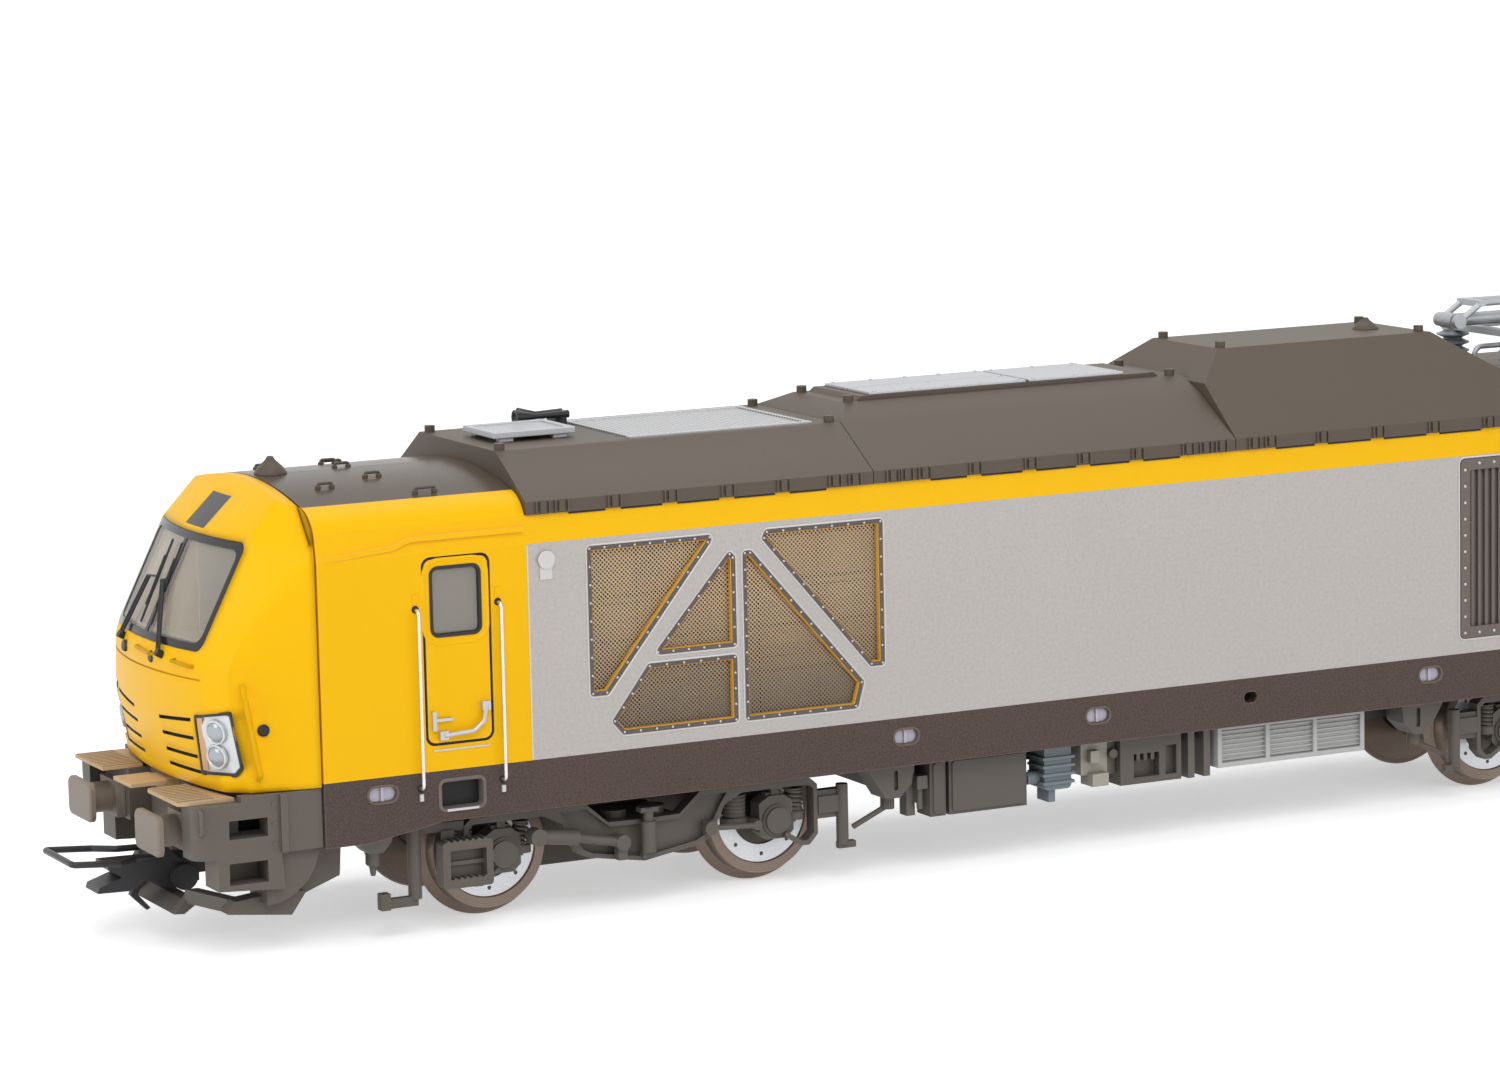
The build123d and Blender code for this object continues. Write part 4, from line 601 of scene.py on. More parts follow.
# Black cups at the handrail holes and a black sheet behind each step hole, as painted shade inside the holes
hole_shade = Work()
for rail_x in (-88.2, -79.2):
    for hole_z in (33.05, 14.85):
        hole_shade.turned((rail_x, -side_y, hole_z), (0, -1, 0), [(0.4, -0.2), (0.4, 0.02), (0.3, 0.03)], 12)
hole_shade.sheet([(x, -side_y + 1.1, z) for x, z in rectangle(*step_span)])
mount("rail_hole_shade", hole_shade.repeat("X", "Y"), joint_and_shade_black)
bright_wire = moulding("bright_wire", (214, 210, 206), roughness=0.22, sparkle=0.1,
                       metallic=0.85, edge=0.1)
dress(bright_wire, "door_handrails")
handle_paint = moulding("handle_silver", (188, 186, 186), roughness=0.35, sparkle=0.2,
                        metallic=0.5, edge=0.6)
soften("door_handles", handle_paint, 0.08)
soften("side_lamps", silver_trim, 0.08)
recesses = [(-92.3, 14.7, 1.5), (-32.8, 14.4, 1.4), (-9.4, 14.25, 1.4), (33.4, 14.5, 1.4)]
eyes = Work()
floors = Work()
for x, z, half in recesses:
    span = rectangle((x - half, x + half), (z - 0.75, z + 0.75))
    eyes.wall_ring(span, 0.74, [(-0.26, -0.02), (-0.22, 0.1), (-0.06, 0.12), (0.03, 0.0), (0.05, -0.45)])
    floors.sheet([(px, -side_y + 0.42, pz) for px, pz in rounded(shrunk(span, 0.02), 0.7)])
    floors.block((x - 0.16, x + 0.16), (-side_y + 0.2, -side_y + 0.42), (z - 0.7, z + 0.7))
rim_paint = moulding("rim_paint", (98, 86, 76), roughness=0.42, sparkle=0.8, edge=0.9,
                     edge_colour=(186, 152, 92))
mount("recess_rims", eyes.repeat("Y"), rim_paint)
eye_lens = moulding("eye_lens", (186, 181, 198), roughness=0.12, sparkle=0.2, edge=0.5, shade_and_dust=0.6,
                    shade_and_dust_colour=(120, 104, 84))
mount("recess_floors", floors.repeat("Y"), eye_lens)

# Air intakes
# Five openings a side behind one etched mesh. Each has a silver bead, a brown band with
# small bolts, a gold edge, and filter cassettes behind the mesh.
intake_outlines = [
    [(-69.2, 37.8), (-54.9, 37.8), (-55.3, 36.9), (-67.2, 22.3), (-69.2, 22.3)],
    [(-53.1, 36.0), (-52.45, 35.3), (-52.45, 25.9), (-62.1, 25.9)],
    [(-62.6, 25.1), (-52.45, 25.1), (-52.45, 18.0), (-65.6, 18.0), (-66.9, 19.5)],
    [(-51.6, 35.8), (-50.6, 35.8), (-37.7, 20.8), (-38.5, 18.0), (-51.6, 18.0)],
    [(-48.9, 37.8), (-35.2, 37.8), (-35.2, 22.3), (-36.9, 22.3), (-49.4, 36.9)],
]
intake_corner = 0.42
bolt_spacing = 1.8
beads, bands, gold_edges, bolts, screens = Work(), Work(), Work(), Work(), Work()
for outline in intake_outlines:
    beads.wall_ring(outline, intake_corner,
                    [(-0.22, -0.02), (-0.18, 0.07), (-0.08, 0.1), (0.0, 0.06), (0.02, -0.1)])
    bands.wall_ring(outline, intake_corner, [(0.0, 0.0), (0.04, 0.06), (0.44, 0.03), (0.5, -0.04)])
    gold_edges.wall_ring(outline, intake_corner, [(0.47, -0.01), (0.54, -0.06), (0.56, -0.58)])
    screens.sheet([(x, -side_y + 0.56, z) for x, z in rounded(shrunk(outline, 0.45), 0.05)])
    middle = shrunk(outline, 0.27)
    for n, start in enumerate(middle):
        span = Vector(start) - Vector(middle[n - 1])
        count = max(1, round(span.length / bolt_spacing))
        for step in range(count):
            x, z = Vector(middle[n - 1]) + span * (step / count)
            bolts.turned((x, -side_y - 0.03, z), (0, -1, 0), [(0.13, -0.05), (0.13, 0.06), (0.07, 0.12)], 8)
mount("intake_beads", beads.repeat("Y"), silver_trim)
band_brown = moulding("band_brown", (92, 82, 78), roughness=0.42, grain=5200, sparkle=1.1, edge=0.6,
                      edge_colour=(160, 150, 144))
mount("intake_bands", bands.repeat("Y"), band_brown)
gold_paint = moulding("gold_edge", (214, 160, 46), roughness=0.4, sparkle=0.3, edge=0.3)
mount("intake_gold_edges", gold_edges.repeat("Y"), gold_paint)
mount("intake_bolts", bolts.repeat("Y"), silver_trim)


shade_span = (19, 31)


def make_etched_mesh(name, colour, shade_colour, pitch, wire):
    """Etched metal with a diamond grid of holes, painted darker towards its foot as shade."""
    finish = Finish(name, roughness=0.34, metallic=0.4)
    x, y, z = finish.where()
    ways = []
    for sign in ("ADD", "SUBTRACT"):
        along = finish.math(sign, x, z)
        share = finish.math("FRACT", finish.math("MULTIPLY", along, 1 / (pitch * MM)))
        ways.append(finish.math("ABSOLUTE", finish.math("SUBTRACT", share, 0.5)))
    crossing = finish.math("MAXIMUM", *ways)
    on_wire = finish.math("GREATER_THAN", crossing, 0.5 - wire / 2)
    finish.tree.links.new(on_wire, finish.shader.inputs["Alpha"])
    grained = finish.add(paint_grain, Grain=3000.0, Sparkle=0.3, Drift=0.15)
    height = finish.tree.nodes.new("ShaderNodeMapRange")
    for label, value in zip(("From Min", "From Max"), shade_span):
        height.inputs[label].default_value = above_rail(value)
    finish.tree.links.new(z, height.inputs["Value"])
    # Lower part painted darker, as painted shade
    shaded = finish.over(height.outputs["Result"], shade_colour, colour)
    finish.coat(finish.toned(shaded, grained["Tone"]))
    return finish.bump(crossing, 0.00006).material


etched_mesh = make_etched_mesh("etched_mesh", srgb(178, 154, 122), srgb(124, 108, 90), 0.47, 0.38)
mount("intake_screens", screens.repeat("Y"), etched_mesh, "intake_meshes", replace=True)


pleat_pitch = 0.9
fold_pitch = 6.3
cassette_height = 4.7
shade_below_z = 25.4


def make_cassettes():
    """Tan filter cassettes with dark joints, and painted shade in the lower openings, on one side of each
    fold and in the seams.
    """
    finish = Finish("filter_cassettes", roughness=0.6)
    x, y, z = finish.where()
    pleats = finish.math("SINE", finish.math("MULTIPLY", z, 2 * math.pi / (pleat_pitch * MM)))
    low = finish.math("LESS_THAN", z, above_rail(shade_below_z))
    seam_shade = finish.add(corner_shade_and_dust, Reach=0.0009, Strength=1.6)
    grained = finish.add(paint_grain, Grain=2400.0, Sparkle=0.2, Drift=0.3)
    folds = finish.math("SINE", finish.math("MULTIPLY", x, 2 * math.pi / (fold_pitch * MM)))
    stack = finish.math("FRACT", finish.math("MULTIPLY", z, 1 / (cassette_height * MM)))
    joint = finish.math("LESS_THAN", stack, 0.09)
    # Lower openings painted darker, as painted shade
    colour = finish.over(low, srgb(136, 112, 84), srgb(84, 73, 60))
    # One side of each fold painted darker, as painted shade
    colour = finish.over(finish.math("MULTIPLY_ADD", folds, 0.3, 0.3), colour, srgb(58, 47, 36))
    colour = finish.over(joint, finish.toned(colour, grained["Tone"]), srgb(40, 31, 22))
    # Seams painted darker from the occlusion mask, as painted shade together with dust
    colour = finish.over(seam_shade["Mask"], colour, srgb(74, 58, 42))
    return finish.coat(colour).bump(pleats, 0.00004, 0.5).material


dress(make_cassettes(), "intake_cassettes")

# Louvre panels
# Brown frames bolted into the walls over the cooling plant, with fine upright blades.
louvre_paint = moulding("louvre_paint", (106, 97, 91), roughness=0.45, sparkle=0.6, edge=0.8,
                        edge_colour=(124, 112, 102), shade_and_dust=0.6, shade_and_dust_colour=(38, 32, 30))
soften("louvre_panels", louvre_paint, 0.05)
louvre_span = (37.35, 62.05), (18.05, 38.35)
rivets = Work()
upright = [(x, 18.75 + 1.83 * step) for step in range(11) for x in (38.0, 61.4)]
level = [(39.9 + 1.96 * step, z) for step in range(11) for z in (18.7, 37.7)]
for x, z in upright + level:
    rivets.turned((x, -side_y - 0.1, z), (0, -1, 0), [(0.17, -0.1), (0.17, 0.1), (0.08, 0.17)], 8)
mount("louvre_bolts", rivets.repeat("Y"), silver_trim, "louvre_panels")
louvre_bead = Work().wall_ring(rectangle(*louvre_span), 0.6,
                               [(-0.22, -0.02), (-0.18, 0.1), (-0.06, 0.14), (0.02, 0.1)])
mount("louvre_beads", louvre_bead.repeat("Y"), silver_trim)

# Cab fronts
# Two moulded masks sprayed yellow, pushed onto the ends of the shell with a dark gap
# between. Hand loops and grab bars are moulded on, and the wiper bosses are black.
slot_heights = [(22.6, 23.2), (21.0, 21.3), (19.3, 19.4), (17.8, 17.8)]  # at the inner and outer end
slot_span = (3.7, 10.4)
half_slot = 0.16
crease_radius = 1.3


def make_mask_paint():
    """Cab yellow over soft creases, with painted shade inside the cooling slots."""
    finish = Finish("cab_yellow", roughness=0.4, specular=0.15)
    x, y, z = finish.where()
    low, high = slot_span
    from_low = finish.math("SUBTRACT", finish.math("ABSOLUTE", y), low * MM)
    share = finish.math("DIVIDE", from_low, (high - low) * MM)
    slot_shade = 0.0
    for inner_z, outer_z in slot_heights:
        middle = finish.math("ADD", finish.math("MULTIPLY", share, (outer_z - inner_z) * MM),
                             above_rail(inner_z - half_slot))
        gap = finish.math("ABSOLUTE", finish.math("SUBTRACT", z, middle))
        slot_shade = finish.math("MAXIMUM", slot_shade, finish.math("LESS_THAN", gap, (half_slot + 0.03) * MM))
    across = finish.math("LESS_THAN", finish.math("ABSOLUTE", finish.math("SUBTRACT", share, 0.5)), 0.51)
    fine = finish.add(paint_grain, Grain=5200.0, Sparkle=0.04, Drift=0.03)
    yellow = finish.toned(srgb(*cab_yellow), fine["Tone"])
    # Inside of the cooling slots painted near black, as painted shade
    colour = finish.over(finish.math("MULTIPLY", slot_shade, across), yellow, srgb(40, 30, 14))
    finish.coat(colour).bump(fine["Height"], 0.00001)
    creases = finish.tree.nodes.new("ShaderNodeBevel")
    creases.samples = 8
    creases.inputs["Radius"].default_value = crease_radius * MM
    finish.tree.links.new(creases.outputs["Normal"], finish.tree.nodes["Bump"].inputs["Normal"])
    return finish.material


mask_paint = make_mask_paint()
dress(mask_paint, "cab_front_1", "cab_front_2")
satin_black = moulding("black_satin", (34, 33, 35), roughness=0.36, sparkle=0.2, edge=0.6,
                       edge_colour=(96, 92, 92))


def front_loop(y_inner, y_outer, x, z, stand=0.42):
    """A hand loop below the windscreen, as points of its bar."""
    slant = 0.04 * (y_inner + y_outer) / 2
    return [(x + 0.7, y_inner, z - 0.1), (x - stand, y_inner - 0.15, z),
            (x - stand + slant, y_outer + 0.15, z - 0.22), (x + 0.9 + slant, y_outer, z - 0.3)]


for end, turn in (("1", 1), ("2", -1)):
    loops = Work()
    loops.tube(front_loop(0.7, -3.6, -110.9, 29.05), 0.2)
    loops.tube([(-109.6, -8.0, 28.9), (-110.75, -8.1, 28.75), (-110.0, -11.2, 28.5),
                (-109.0, -11.4, 28.5)], 0.2)
    knobs = Work()
    for y in (4.91, -2.92):
        knobs.turned((-110.85, y, 28.45), (-1, 0, 0.12),
                     [(0.62, -0.3), (0.62, 0.22), (0.5, 0.34), (0.1, 0.36)], 20)
    knobs.turned((-104.45, -16.35, 22.35), (-0.14, -1, 0),
                 [(0.62, -0.2), (0.62, 0.26), (0.54, 0.3), (0.46, 0.2), (0.1, 0.2)], 20)
    if turn < 0:
        for work in (loops, knobs):
            for vert in work.bm.verts:
                vert.co.x *= -1
            bmesh.ops.reverse_faces(work.bm, faces=work.bm.faces[:])
    mount("hand_loops_" + end, loops, mask_paint, "cab_front_" + end)
    mount("front_knobs_" + end, knobs, satin_black, "cab_front_" + end)

# Windscreens and wipers
# Clear mouldings with a printed black border. Each wiper has a foot, a double arm and a
# thin blade, standing just off the glass.
gloss_black = moulding("black_gloss", (40, 39, 42), roughness=0.16, sparkle=0.05, edge=0.2)
dress(gloss_black, "windscreen_frames", "top_lamps")


def make_clear(name, reflection_tint, least, rise):
    """Clear moulded glazing with a pale tint laid over it as a painted reflection, growing paler and less
    clear at a low angle.
    """
    finish = Finish(name, roughness=0.06, specular=0.8)
    facing = finish.tree.nodes.new("ShaderNodeLayerWeight")
    facing.inputs["Blend"].default_value = 0.35
    # Pane turns opaque in its pale tint at a low angle, as a painted reflection
    finish.tree.links.new(finish.math("ADD", least, finish.math("MULTIPLY", facing.outputs["Facing"], rise)),
                          finish.shader.inputs["Alpha"])
    finish.coat(finish.toned(reflection_tint, finish.add(paint_grain, Grain=300.0, Sparkle=0.02, Drift=0.04)["Tone"]))
    return finish.bump(noise(finish.tree, 220.0), 0.00001, 0.4).material


dress(make_clear("windscreen_glazing", srgb(236, 228, 212), 0.02, 0.55), "windscreens")
dress(make_clear("door_glazing", srgb(168, 161, 152), 0.45, 0.4), "door_windows")
lift = Vector((-0.86, 0, 0.5))
wiper_set = Work()
# Foot, elbow, blade top and blade foot of each wiper on the glass of end 1
for foot, elbow, tip, heel in (
        ((-110.45, 6.35, 29.2), (-107.7, 4.67, 35.15), (-105.85, 2.68, 39.1), (-110.0, 1.73, 31.1)),
        ((-110.7, -5.33, 28.95), (-108.0, -0.2, 35.3), (-106.0, -0.35, 39.1), (-109.95, -1.1, 31.2))):
    foot, elbow, tip, heel = (Vector(point) for point in (foot, elbow, tip, heel))
    aside = Vector((0, 0.3, 0))
    wiper_set.tube([foot + lift * 0.55 + aside, elbow + lift * 0.62 + aside], 0.14)
    wiper_set.tube([foot + lift * 0.55 - aside, elbow + lift * 0.62 - aside], 0.17)
    wiper_set.tube([foot - lift * 0.6, foot + lift * 0.75], 0.42, 12)
    middle = tip.lerp(heel, 0.45)
    wiper_set.tube([elbow + lift * 0.62 + aside, middle + lift * 0.45], 0.13)
    wiper_set.tube([tip + lift * 0.35, heel + lift * 0.35], 0.13)
    wiper_set.tube([tip.lerp(heel, 0.2) + lift * 0.52, tip.lerp(heel, 0.8) + lift * 0.52], 0.11)
mount("wiper_set", wiper_set.repeat("X"), satin_black, "wipers", replace=True)

# Headlights
# Two round lenses over each other in a pale reflector, behind a black edge, with a bronze
# strip on the inner side.
lamp_outline = [(-11.25, 23.6), (-15.95, 24.4), (-15.95, 18.7), (-15.2, 17.8), (-10.6, 17.5)]
lamp_mesh = frame["nodes"]["headlights"].data
lamp_faces = BVHTree.FromPolygons([vert.co.copy() for vert in lamp_mesh.vertices],
                                  [tuple(face.vertices) for face in lamp_mesh.polygons])
lamp_normal = Vector((2.2, -4.75, 0.75)).cross(Vector((0.8, 0.75, -6.15))).normalized()
if lamp_normal.x > 0:
    lamp_normal = -lamp_normal


def on_lamp(y, z, height=0.0):
    """A point on the face of the right headlight at end 1, from its Y and height."""
    hit = lamp_faces.ray_cast(place(-130, y, z), Vector((1, 0, 0)))[0]
    x = hit.x / MM if hit else -107.8 - 0.06 * (y + 13.4) + 0.12 * (z - 21)
    return Vector((x, y, z)) + lamp_normal * height


def lamp_loop(inset, height):
    """A loop inside the lamp's outline, or a little outside for a negative inset."""
    points = rounded(shrunk(lamp_outline, max(inset, 0.03)), 0.3 if inset < 0.3 else 0.15)
    grow = min(inset, 0.03) - 0.03
    centre = Vector((-13.4, 21.0))
    loop = []
    for y, z in points:
        outward = (Vector((y, z)) - centre).normalized() * -grow
        loop.append(on_lamp(y, z, height) + Vector((0, outward.x, outward.y)))
    return loop


border = Work().loft([lamp_loop(inset, height) for inset, height in ((-0.1, -0.1), (-0.08, 0.1), (0.12, 0.12),
                                                                      (0.26, 0.06), (0.3, -0.25))])
mount("headlight_borders", border.repeat("X", "Y"), gloss_black, "headlights", replace=True)
reflector_paint = moulding("reflector_pale", (212, 214, 216), roughness=0.25, sparkle=0.1, metallic=0.35,
                           edge=0.4, shade_and_dust=0.6, shade_and_dust_colour=(120, 120, 124))
bowl = [lamp_loop(0.28, -0.12), lamp_loop(1.2, -0.22), lamp_loop(2.2, -0.24)]
reflector = Work().loft(bowl).sheet(bowl[-1])
lens_places = ((-13.9, 22.1), (-13.65, 19.6))
for y, z in lens_places:
    reflector.turned(on_lamp(y, z), lamp_normal,
                     [(1.3, -0.4), (1.3, -0.08), (1.2, 0.02), (1.08, -0.02), (1.0, -0.14)], 32)
mount("headlight_reflectors", reflector.repeat("X", "Y"), reflector_paint, "headlights")
lens_glass = moulding("lens_clear", (170, 176, 182), roughness=0.05, sparkle=0.04, edge=0.2, metallic=0.2)
lenses = Work()
for y, z in lens_places:
    lenses.turned(on_lamp(y, z), lamp_normal,
                  [(1.0, -0.2), (0.98, -0.08), (0.8, 0.05), (0.5, 0.14), (0.2, 0.17)], 32)
mount("headlight_lenses", lenses.repeat("X", "Y"), lens_glass, "headlights")
strip_low, strip_high = on_lamp(-10.95, 17.9, 0.02), on_lamp(-11.55, 23.35, 0.02)
bronze = Work().loft([[strip_low, strip_high], [strip_low + Vector((0.3, -0.8, 0.1)), strip_high
                                                + Vector((0.3, -0.8, 0.1))]], shut=False)
bronze_paint = moulding("bronze_strip", (206, 164, 116), roughness=0.35, sparkle=0.3, metallic=0.2,
                        edge=0.3)
mount("headlight_strips", bronze.repeat("X", "Y"), bronze_paint, "headlights")

# Skirts, treads and buffers
# Matt brown-grey mouldings that clip below the masks, with worn tan treads.
skirt_plastic = moulding("skirt_plastic", (98, 91, 84), roughness=0.55, sparkle=0.2, edge=0.9,
                         edge_colour=(152, 142, 130), shade_and_dust=0.5, shade_and_dust_colour=(66, 60, 55))
tread_plastic = moulding("tread_plastic", (196, 168, 130), roughness=0.6, sparkle=0.3, edge=1.0,
                         edge_colour=(184, 166, 138), shade_and_dust=1.0, shade_and_dust_colour=(92, 84, 74))
for end in ("1", "2"):
    soften("front_skirt_" + end, skirt_plastic, 0.12)
soften("end_treads", tread_plastic, 0.05)
buffer_plastic = moulding("buffer_plastic", (132, 121, 110), roughness=0.5, sparkle=0.2, edge=0.9,
                          edge_colour=(176, 164, 150), shade_and_dust=0.5, shade_and_dust_colour=(84, 76, 69))
soften("buffers", buffer_plastic, 0.12)

# Roof covers
# Deep matt grey mouldings in three steps, with pairs of ribs and a bolt along the flange.
roof_plastic = moulding("roof_paint", roof_grey, roughness=0.5, sparkle=0.22, drift=0.1, edge=0.6,
                        edge_colour=(146, 137, 126), shade_and_dust=0.4, shade_and_dust_colour=(70, 65, 60))
for number in ("1", "2", "3", "4"):
    soften("roof_cover_" + number, roof_plastic, 0.15)
soften("roof_domes", roof_plastic, 0.1)
flange_y = 17.05
flange_span = (41.5, 42.75)
brackets = {
    "1": [-73.9, -71.8, -65.9, -59.5, -53.0, -46.6, -40.6, -38.3],
    "2": [-33.8, -32.1, -30.0, -23.9, -17.2, -10.6, -4.0, 2.3, 4.5, 6.5],
    "3": [10.7, 12.8, 19.5, 26.8, 34.1, 41.4],
    "4": [49.0, 55.5, 62.0, 68.5, 73.9],
}
for number, places in brackets.items():
    ribs = Work()
    for x in places:
        for rib in (x - 0.75, x + 0.65):
            ribs.block((rib, rib + 0.14), (-flange_y - 0.22, -flange_y + 0.1), flange_span)
        ribs.turned((x, -flange_y - 0.18, 42.05), (0, -1, 0), [(0.22, -0.1), (0.22, 0.1), (0.1, 0.18)], 10)
    mount("flange_ribs_" + number, ribs.repeat("Y"), roof_plastic,
        "roof_cover_" + number)
# Black strips in the gaps just under the flange between brackets, as painted shade
notch_shade = Work()
for places in brackets.values():
    for near, far in zip(places, places[1:]):
        if far - near > 3:
            notch_shade.block((near + 0.9, far - 0.9), (-side_y + 0.35, -side_y + 0.6), (41.24, 41.42))
mount("flange_notch_shade", notch_shade.repeat("Y"), joint_and_shade_black)

# Roof fittings
# A silver tray on feet, a perforated plate let into the first cover, black horns, and
# bolted silver panels on the second cover.
silver_plastic = moulding("silver_plastic", (190, 191, 194), roughness=0.42, sparkle=0.6, drift=0.1,
                          metallic=0.3, edge=0.8, edge_colour=(232, 232, 232), shade_and_dust=0.4,
                          shade_and_dust_colour=(120, 120, 122))
soften("roof_tray", silver_plastic, 0.1)
soften("roof_panels", silver_plastic, 0.08)
soften("roof_horns", satin_black, 0.05)


plate_half_width = 7.6


def make_perforated(name, colour, hole_shade, pitch, hole):
    """Silver plate with square rows of round holes, painted darker as the shade in them and sunk into it."""
    finish = Finish(name, roughness=0.42, metallic=0.3)
    x, y, z = finish.where()
    squares = []
    for way in (x, y):
        cells = finish.math("FRACT", finish.math("MULTIPLY", way, 1 / (pitch * MM)))
        share = finish.math("SUBTRACT", cells, 0.5)
        squares.append(finish.math("MULTIPLY", share, share))
    reach = finish.math("SQRT", finish.math("ADD", *squares))
    in_hole = finish.math("LESS_THAN", reach, hole / 2)
    inside = finish.math("LESS_THAN", finish.math("ABSOLUTE", y), plate_half_width * MM)
    in_hole = finish.math("MULTIPLY", in_hole, inside)
    grained = finish.add(paint_grain, Grain=3000.0, Sparkle=0.5, Drift=0.1)
    # Holes painted darker, as painted shade inside them
    colour = finish.over(in_hole, finish.toned(colour, grained["Tone"]), hole_shade)
    return finish.coat(colour).bump(finish.math("SUBTRACT", 1.0, in_hole), 0.00012).material


dress(make_perforated("roof_mesh_silver", srgb(198, 199, 201), srgb(132, 128, 126), 0.62, 0.62), "roof_mesh")
studs = Work()
panel_z = 49.5
edge_studs = [(x, y) for x in (-29.2, -24.6, -20.4, -16.2, -11.6, -9.6, -4.4, 0.7) for y in (-4.7, 4.7)]
for x, y in edge_studs + [(x, -0.7) for x in (-29.2, -20.4, -11.6)]:
    studs.turned((x, y, panel_z), (0, 0, 1), [(0.22, -0.05), (0.22, 0.08), (0.1, 0.16)], 8)
mount("panel_bolts", studs, silver_plastic, "roof_panels")

# Pantograph
# Die-cast arms in silver paint on ribbed grey insulators.
pantograph_paint = moulding("pantograph_silver", (178, 181, 184), roughness=0.4, sparkle=0.2,
                            metallic=0.4, edge=0.8, edge_colour=(220, 222, 224))
insulator_plastic = moulding("insulator_grey", (140, 146, 152), roughness=0.35, sparkle=0.1, edge=0.5,
                             shade_and_dust=0.6, shade_and_dust_colour=(90, 94, 98))
dress(insulator_plastic, "pantograph_insulators")
for node in ("pantograph_frame", "pantograph_lower_arm", "pantograph_upper_arm", "pantograph_head"):
    soften(node, pantograph_paint, 0.05)
dress(pantograph_paint, "roof_conductor")

# Chassis and the gear hung below it
# Black metal floor, with brown-grey moulded cases, a blue-grey compressor and pale cooling
# grids hung beside its deep middle.
frame_plastic = moulding("bogie_plastic", (96, 90, 83), roughness=0.55, sparkle=0.2, edge=1.0,
                         edge_colour=(146, 136, 124), shade_and_dust=0.7, shade_and_dust_colour=(60, 55, 50))
chassis_black = moulding("chassis_metal", (48, 45, 43), roughness=0.5, sparkle=0.3, edge=0.4)
dress(chassis_black, "chassis", "motor_block")
grid_plastic = moulding("grid_plastic", (190, 190, 188), roughness=0.5, sparkle=0.15, edge=0.6, shade_and_dust=0.7,
                        shade_and_dust_colour=(140, 138, 136))
soften("radiator_grids", grid_plastic, 0.05)


def make_air_gear():
    """Brown-grey plastic, with the compressor blue-grey and the valve box pale."""
    finish = Finish("air_gear_plastic", roughness=0.5)
    x, y, z = finish.where()

    def between(low, high):
        return finish.math("MULTIPLY", finish.math("GREATER_THAN", x, low * MM),
                           finish.math("LESS_THAN", x, high * MM))
    grained = finish.add(paint_grain, Grain=5000.0, Sparkle=0.2, Drift=0.1)
    colour = finish.over(between(-17.0, -11.0), srgb(96, 90, 83), srgb(112, 124, 130))
    colour = finish.over(between(-10.2, -6.45), colour, srgb(168, 162, 150))
    # Grooves painted darker, as painted shade together with dust
    shaded_corners = finish.add(corner_shade_and_dust, Reach=0.001, Strength=0.7)
    colour = finish.over(shaded_corners["Mask"], finish.toned(colour, grained["Tone"]), srgb(58, 54, 50))
    # Edges painted pale, as a painted highlight
    light = finish.add(edge_highlight, Width=0.00012, Strength=0.9)
    finish.coat(finish.over(light["Mask"], colour, srgb(164, 158, 150)))
    return finish.bump(grained["Height"], 0.00001).material


soften("air_gear", make_air_gear(), 0.1)
for node in ("underframe_tanks", "underframe_cases"):
    soften(node, frame_plastic, 0.1)

# Bogies
# One moulded frame each, with separate springs, dampers, steps and pipes, all brown-grey.
for end in ("1", "2"):
    for part in ("bogie_frame_", "gear_case_", "bogie_dampers_", "bogie_steps_"):
        soften(part + end, frame_plastic, 0.08)
axle_u = 15.7
pivot_x = 62.07
spring_y = 12.6
spring_z = (6.9, 9.4)
coil_turns = 4.5
springs = [(-axle_u - 4.3, 1.2), (-axle_u + 2.4, 0.9), (axle_u - 4.6, 1.3), (axle_u + 2.4, 1.05)]
for end, sign in (("1", 1), ("2", -1)):
    coils = Work()
    for u, radius in springs:
        wire = radius * 0.2
        steps = int(coil_turns * 14)
        low, high = spring_z[0] + wire, spring_z[1] - wire
        helix = []
        for step in range(steps + 1):
            angle = 2 * math.pi * coil_turns * step / steps
            helix.append((sign * (u - pivot_x) + (radius - wire) * math.cos(angle),
                          spring_y + (radius - wire) * math.sin(angle), low + (high - low) * step / steps))
        coils.tube(helix, wire, 7)
        core = (sign * (u - pivot_x), spring_y, spring_z[0])
        coils.turned(core, (0, 0, 1), [(radius * 0.5, 0), (radius * 0.5, spring_z[1] - spring_z[0])], 12)
        for level in (0, spring_z[1] - spring_z[0] - 0.12):
            coils.turned(core, (0, 0, 1), [(radius, level), (radius, level + 0.12)], 20)
    fit("bogie_springs_coiled_" + end, coils.repeat("Y").made("coils_" + end), frame_plastic,
        "bogie_springs_" + end, replace=True)


axle_z = 6.32
disc_radius = 5.1
hub_radius = 3.25
wheel_face_y = 9.4


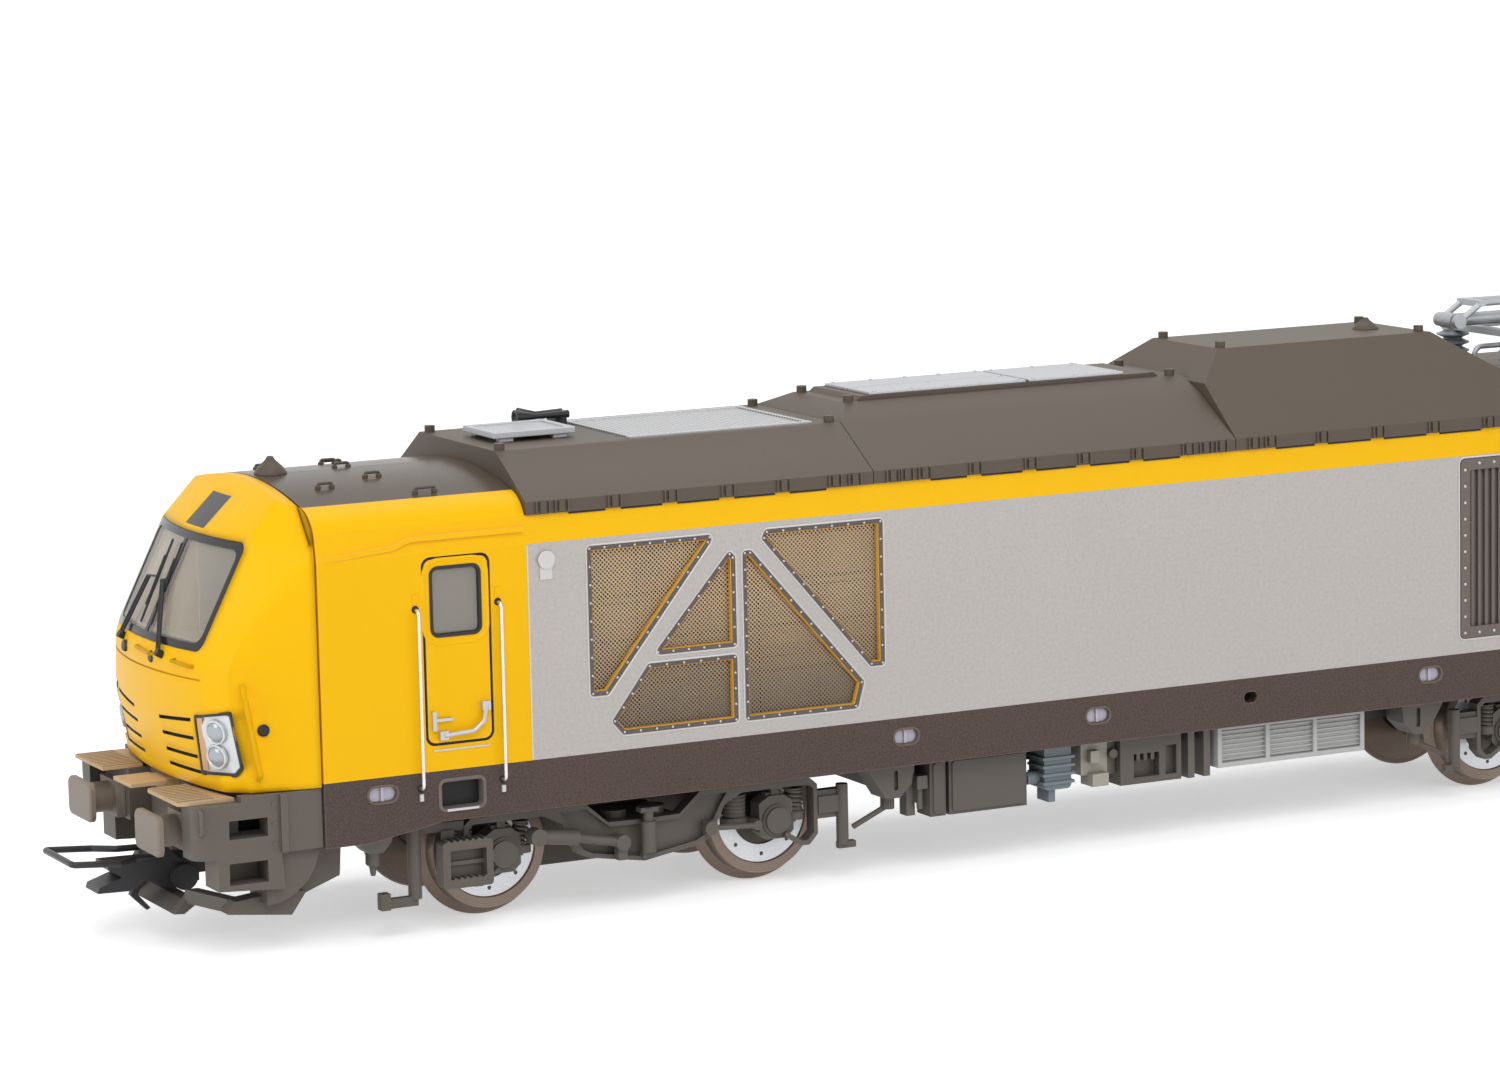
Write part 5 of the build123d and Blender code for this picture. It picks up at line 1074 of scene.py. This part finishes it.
def make_wheel_metal():
    """Turned wheels: a pale painted disc ring, a dark hub and a brownish steel tyre."""
    finish = Finish("wheel_metal", roughness=0.32, metallic=0.55)
    x, y, z = finish.where()
    along = finish.math("SUBTRACT", finish.math("ABSOLUTE", x), pivot_x * MM)
    along = finish.math("SUBTRACT", finish.math("ABSOLUTE", along), axle_u * MM)
    up = finish.math("SUBTRACT", z, above_rail(axle_z))
    radius = finish.math("SQRT", finish.math("ADD", finish.math("MULTIPLY", along, along),
                                             finish.math("MULTIPLY", up, up)))
    outside = finish.math("GREATER_THAN", finish.math("ABSOLUTE", y), wheel_face_y * MM)
    on_disc = finish.math("MULTIPLY", finish.math("LESS_THAN", radius, disc_radius * MM),
                          finish.math("GREATER_THAN", radius, hub_radius * MM))
    on_disc = finish.math("MULTIPLY", on_disc, outside)
    on_hub = finish.math("LESS_THAN", radius, hub_radius * MM)
    grained = finish.add(paint_grain, Grain=3000.0, Sparkle=0.25, Drift=0.25)
    rings = finish.math("SINE", finish.math("MULTIPLY", radius, 2 * math.pi / (0.22 * MM)))
    colour = finish.over(on_hub, srgb(128, 112, 100), srgb(70, 65, 60))
    colour = finish.over(on_disc, colour, srgb(214, 216, 220))
    return finish.coat(finish.toned(colour, grained["Tone"])).bump(rings, 0.000012, 0.6).material


dress(make_wheel_metal(), "wheelset_1", "wheelset_2", "wheelset_3", "wheelset_4")

# Couplers
# Black close couplers with a hook, and a wire loop that lifts over the next one.
coupler_black = moulding("coupler_plastic", (46, 45, 48), roughness=0.35, sparkle=0.3, edge=0.7,
                         edge_colour=(96, 98, 104))
for end in ("1", "2"):
    soften("coupler_" + end, coupler_black, 0.1)
    soften("coupler_loop_" + end, coupler_black, 0.03)

# Cab interiors
# Olive moulded insets with a desk and two seats, seen through the windscreens.
cab_grey = moulding("cab_plastic", (158, 136, 82), roughness=0.6, edge=0.4, drift=0.3, shade_and_dust=0.6,
                    shade_and_dust_colour=(74, 60, 34))
dress(cab_grey, "cab_interior_1", "cab_interior_2")
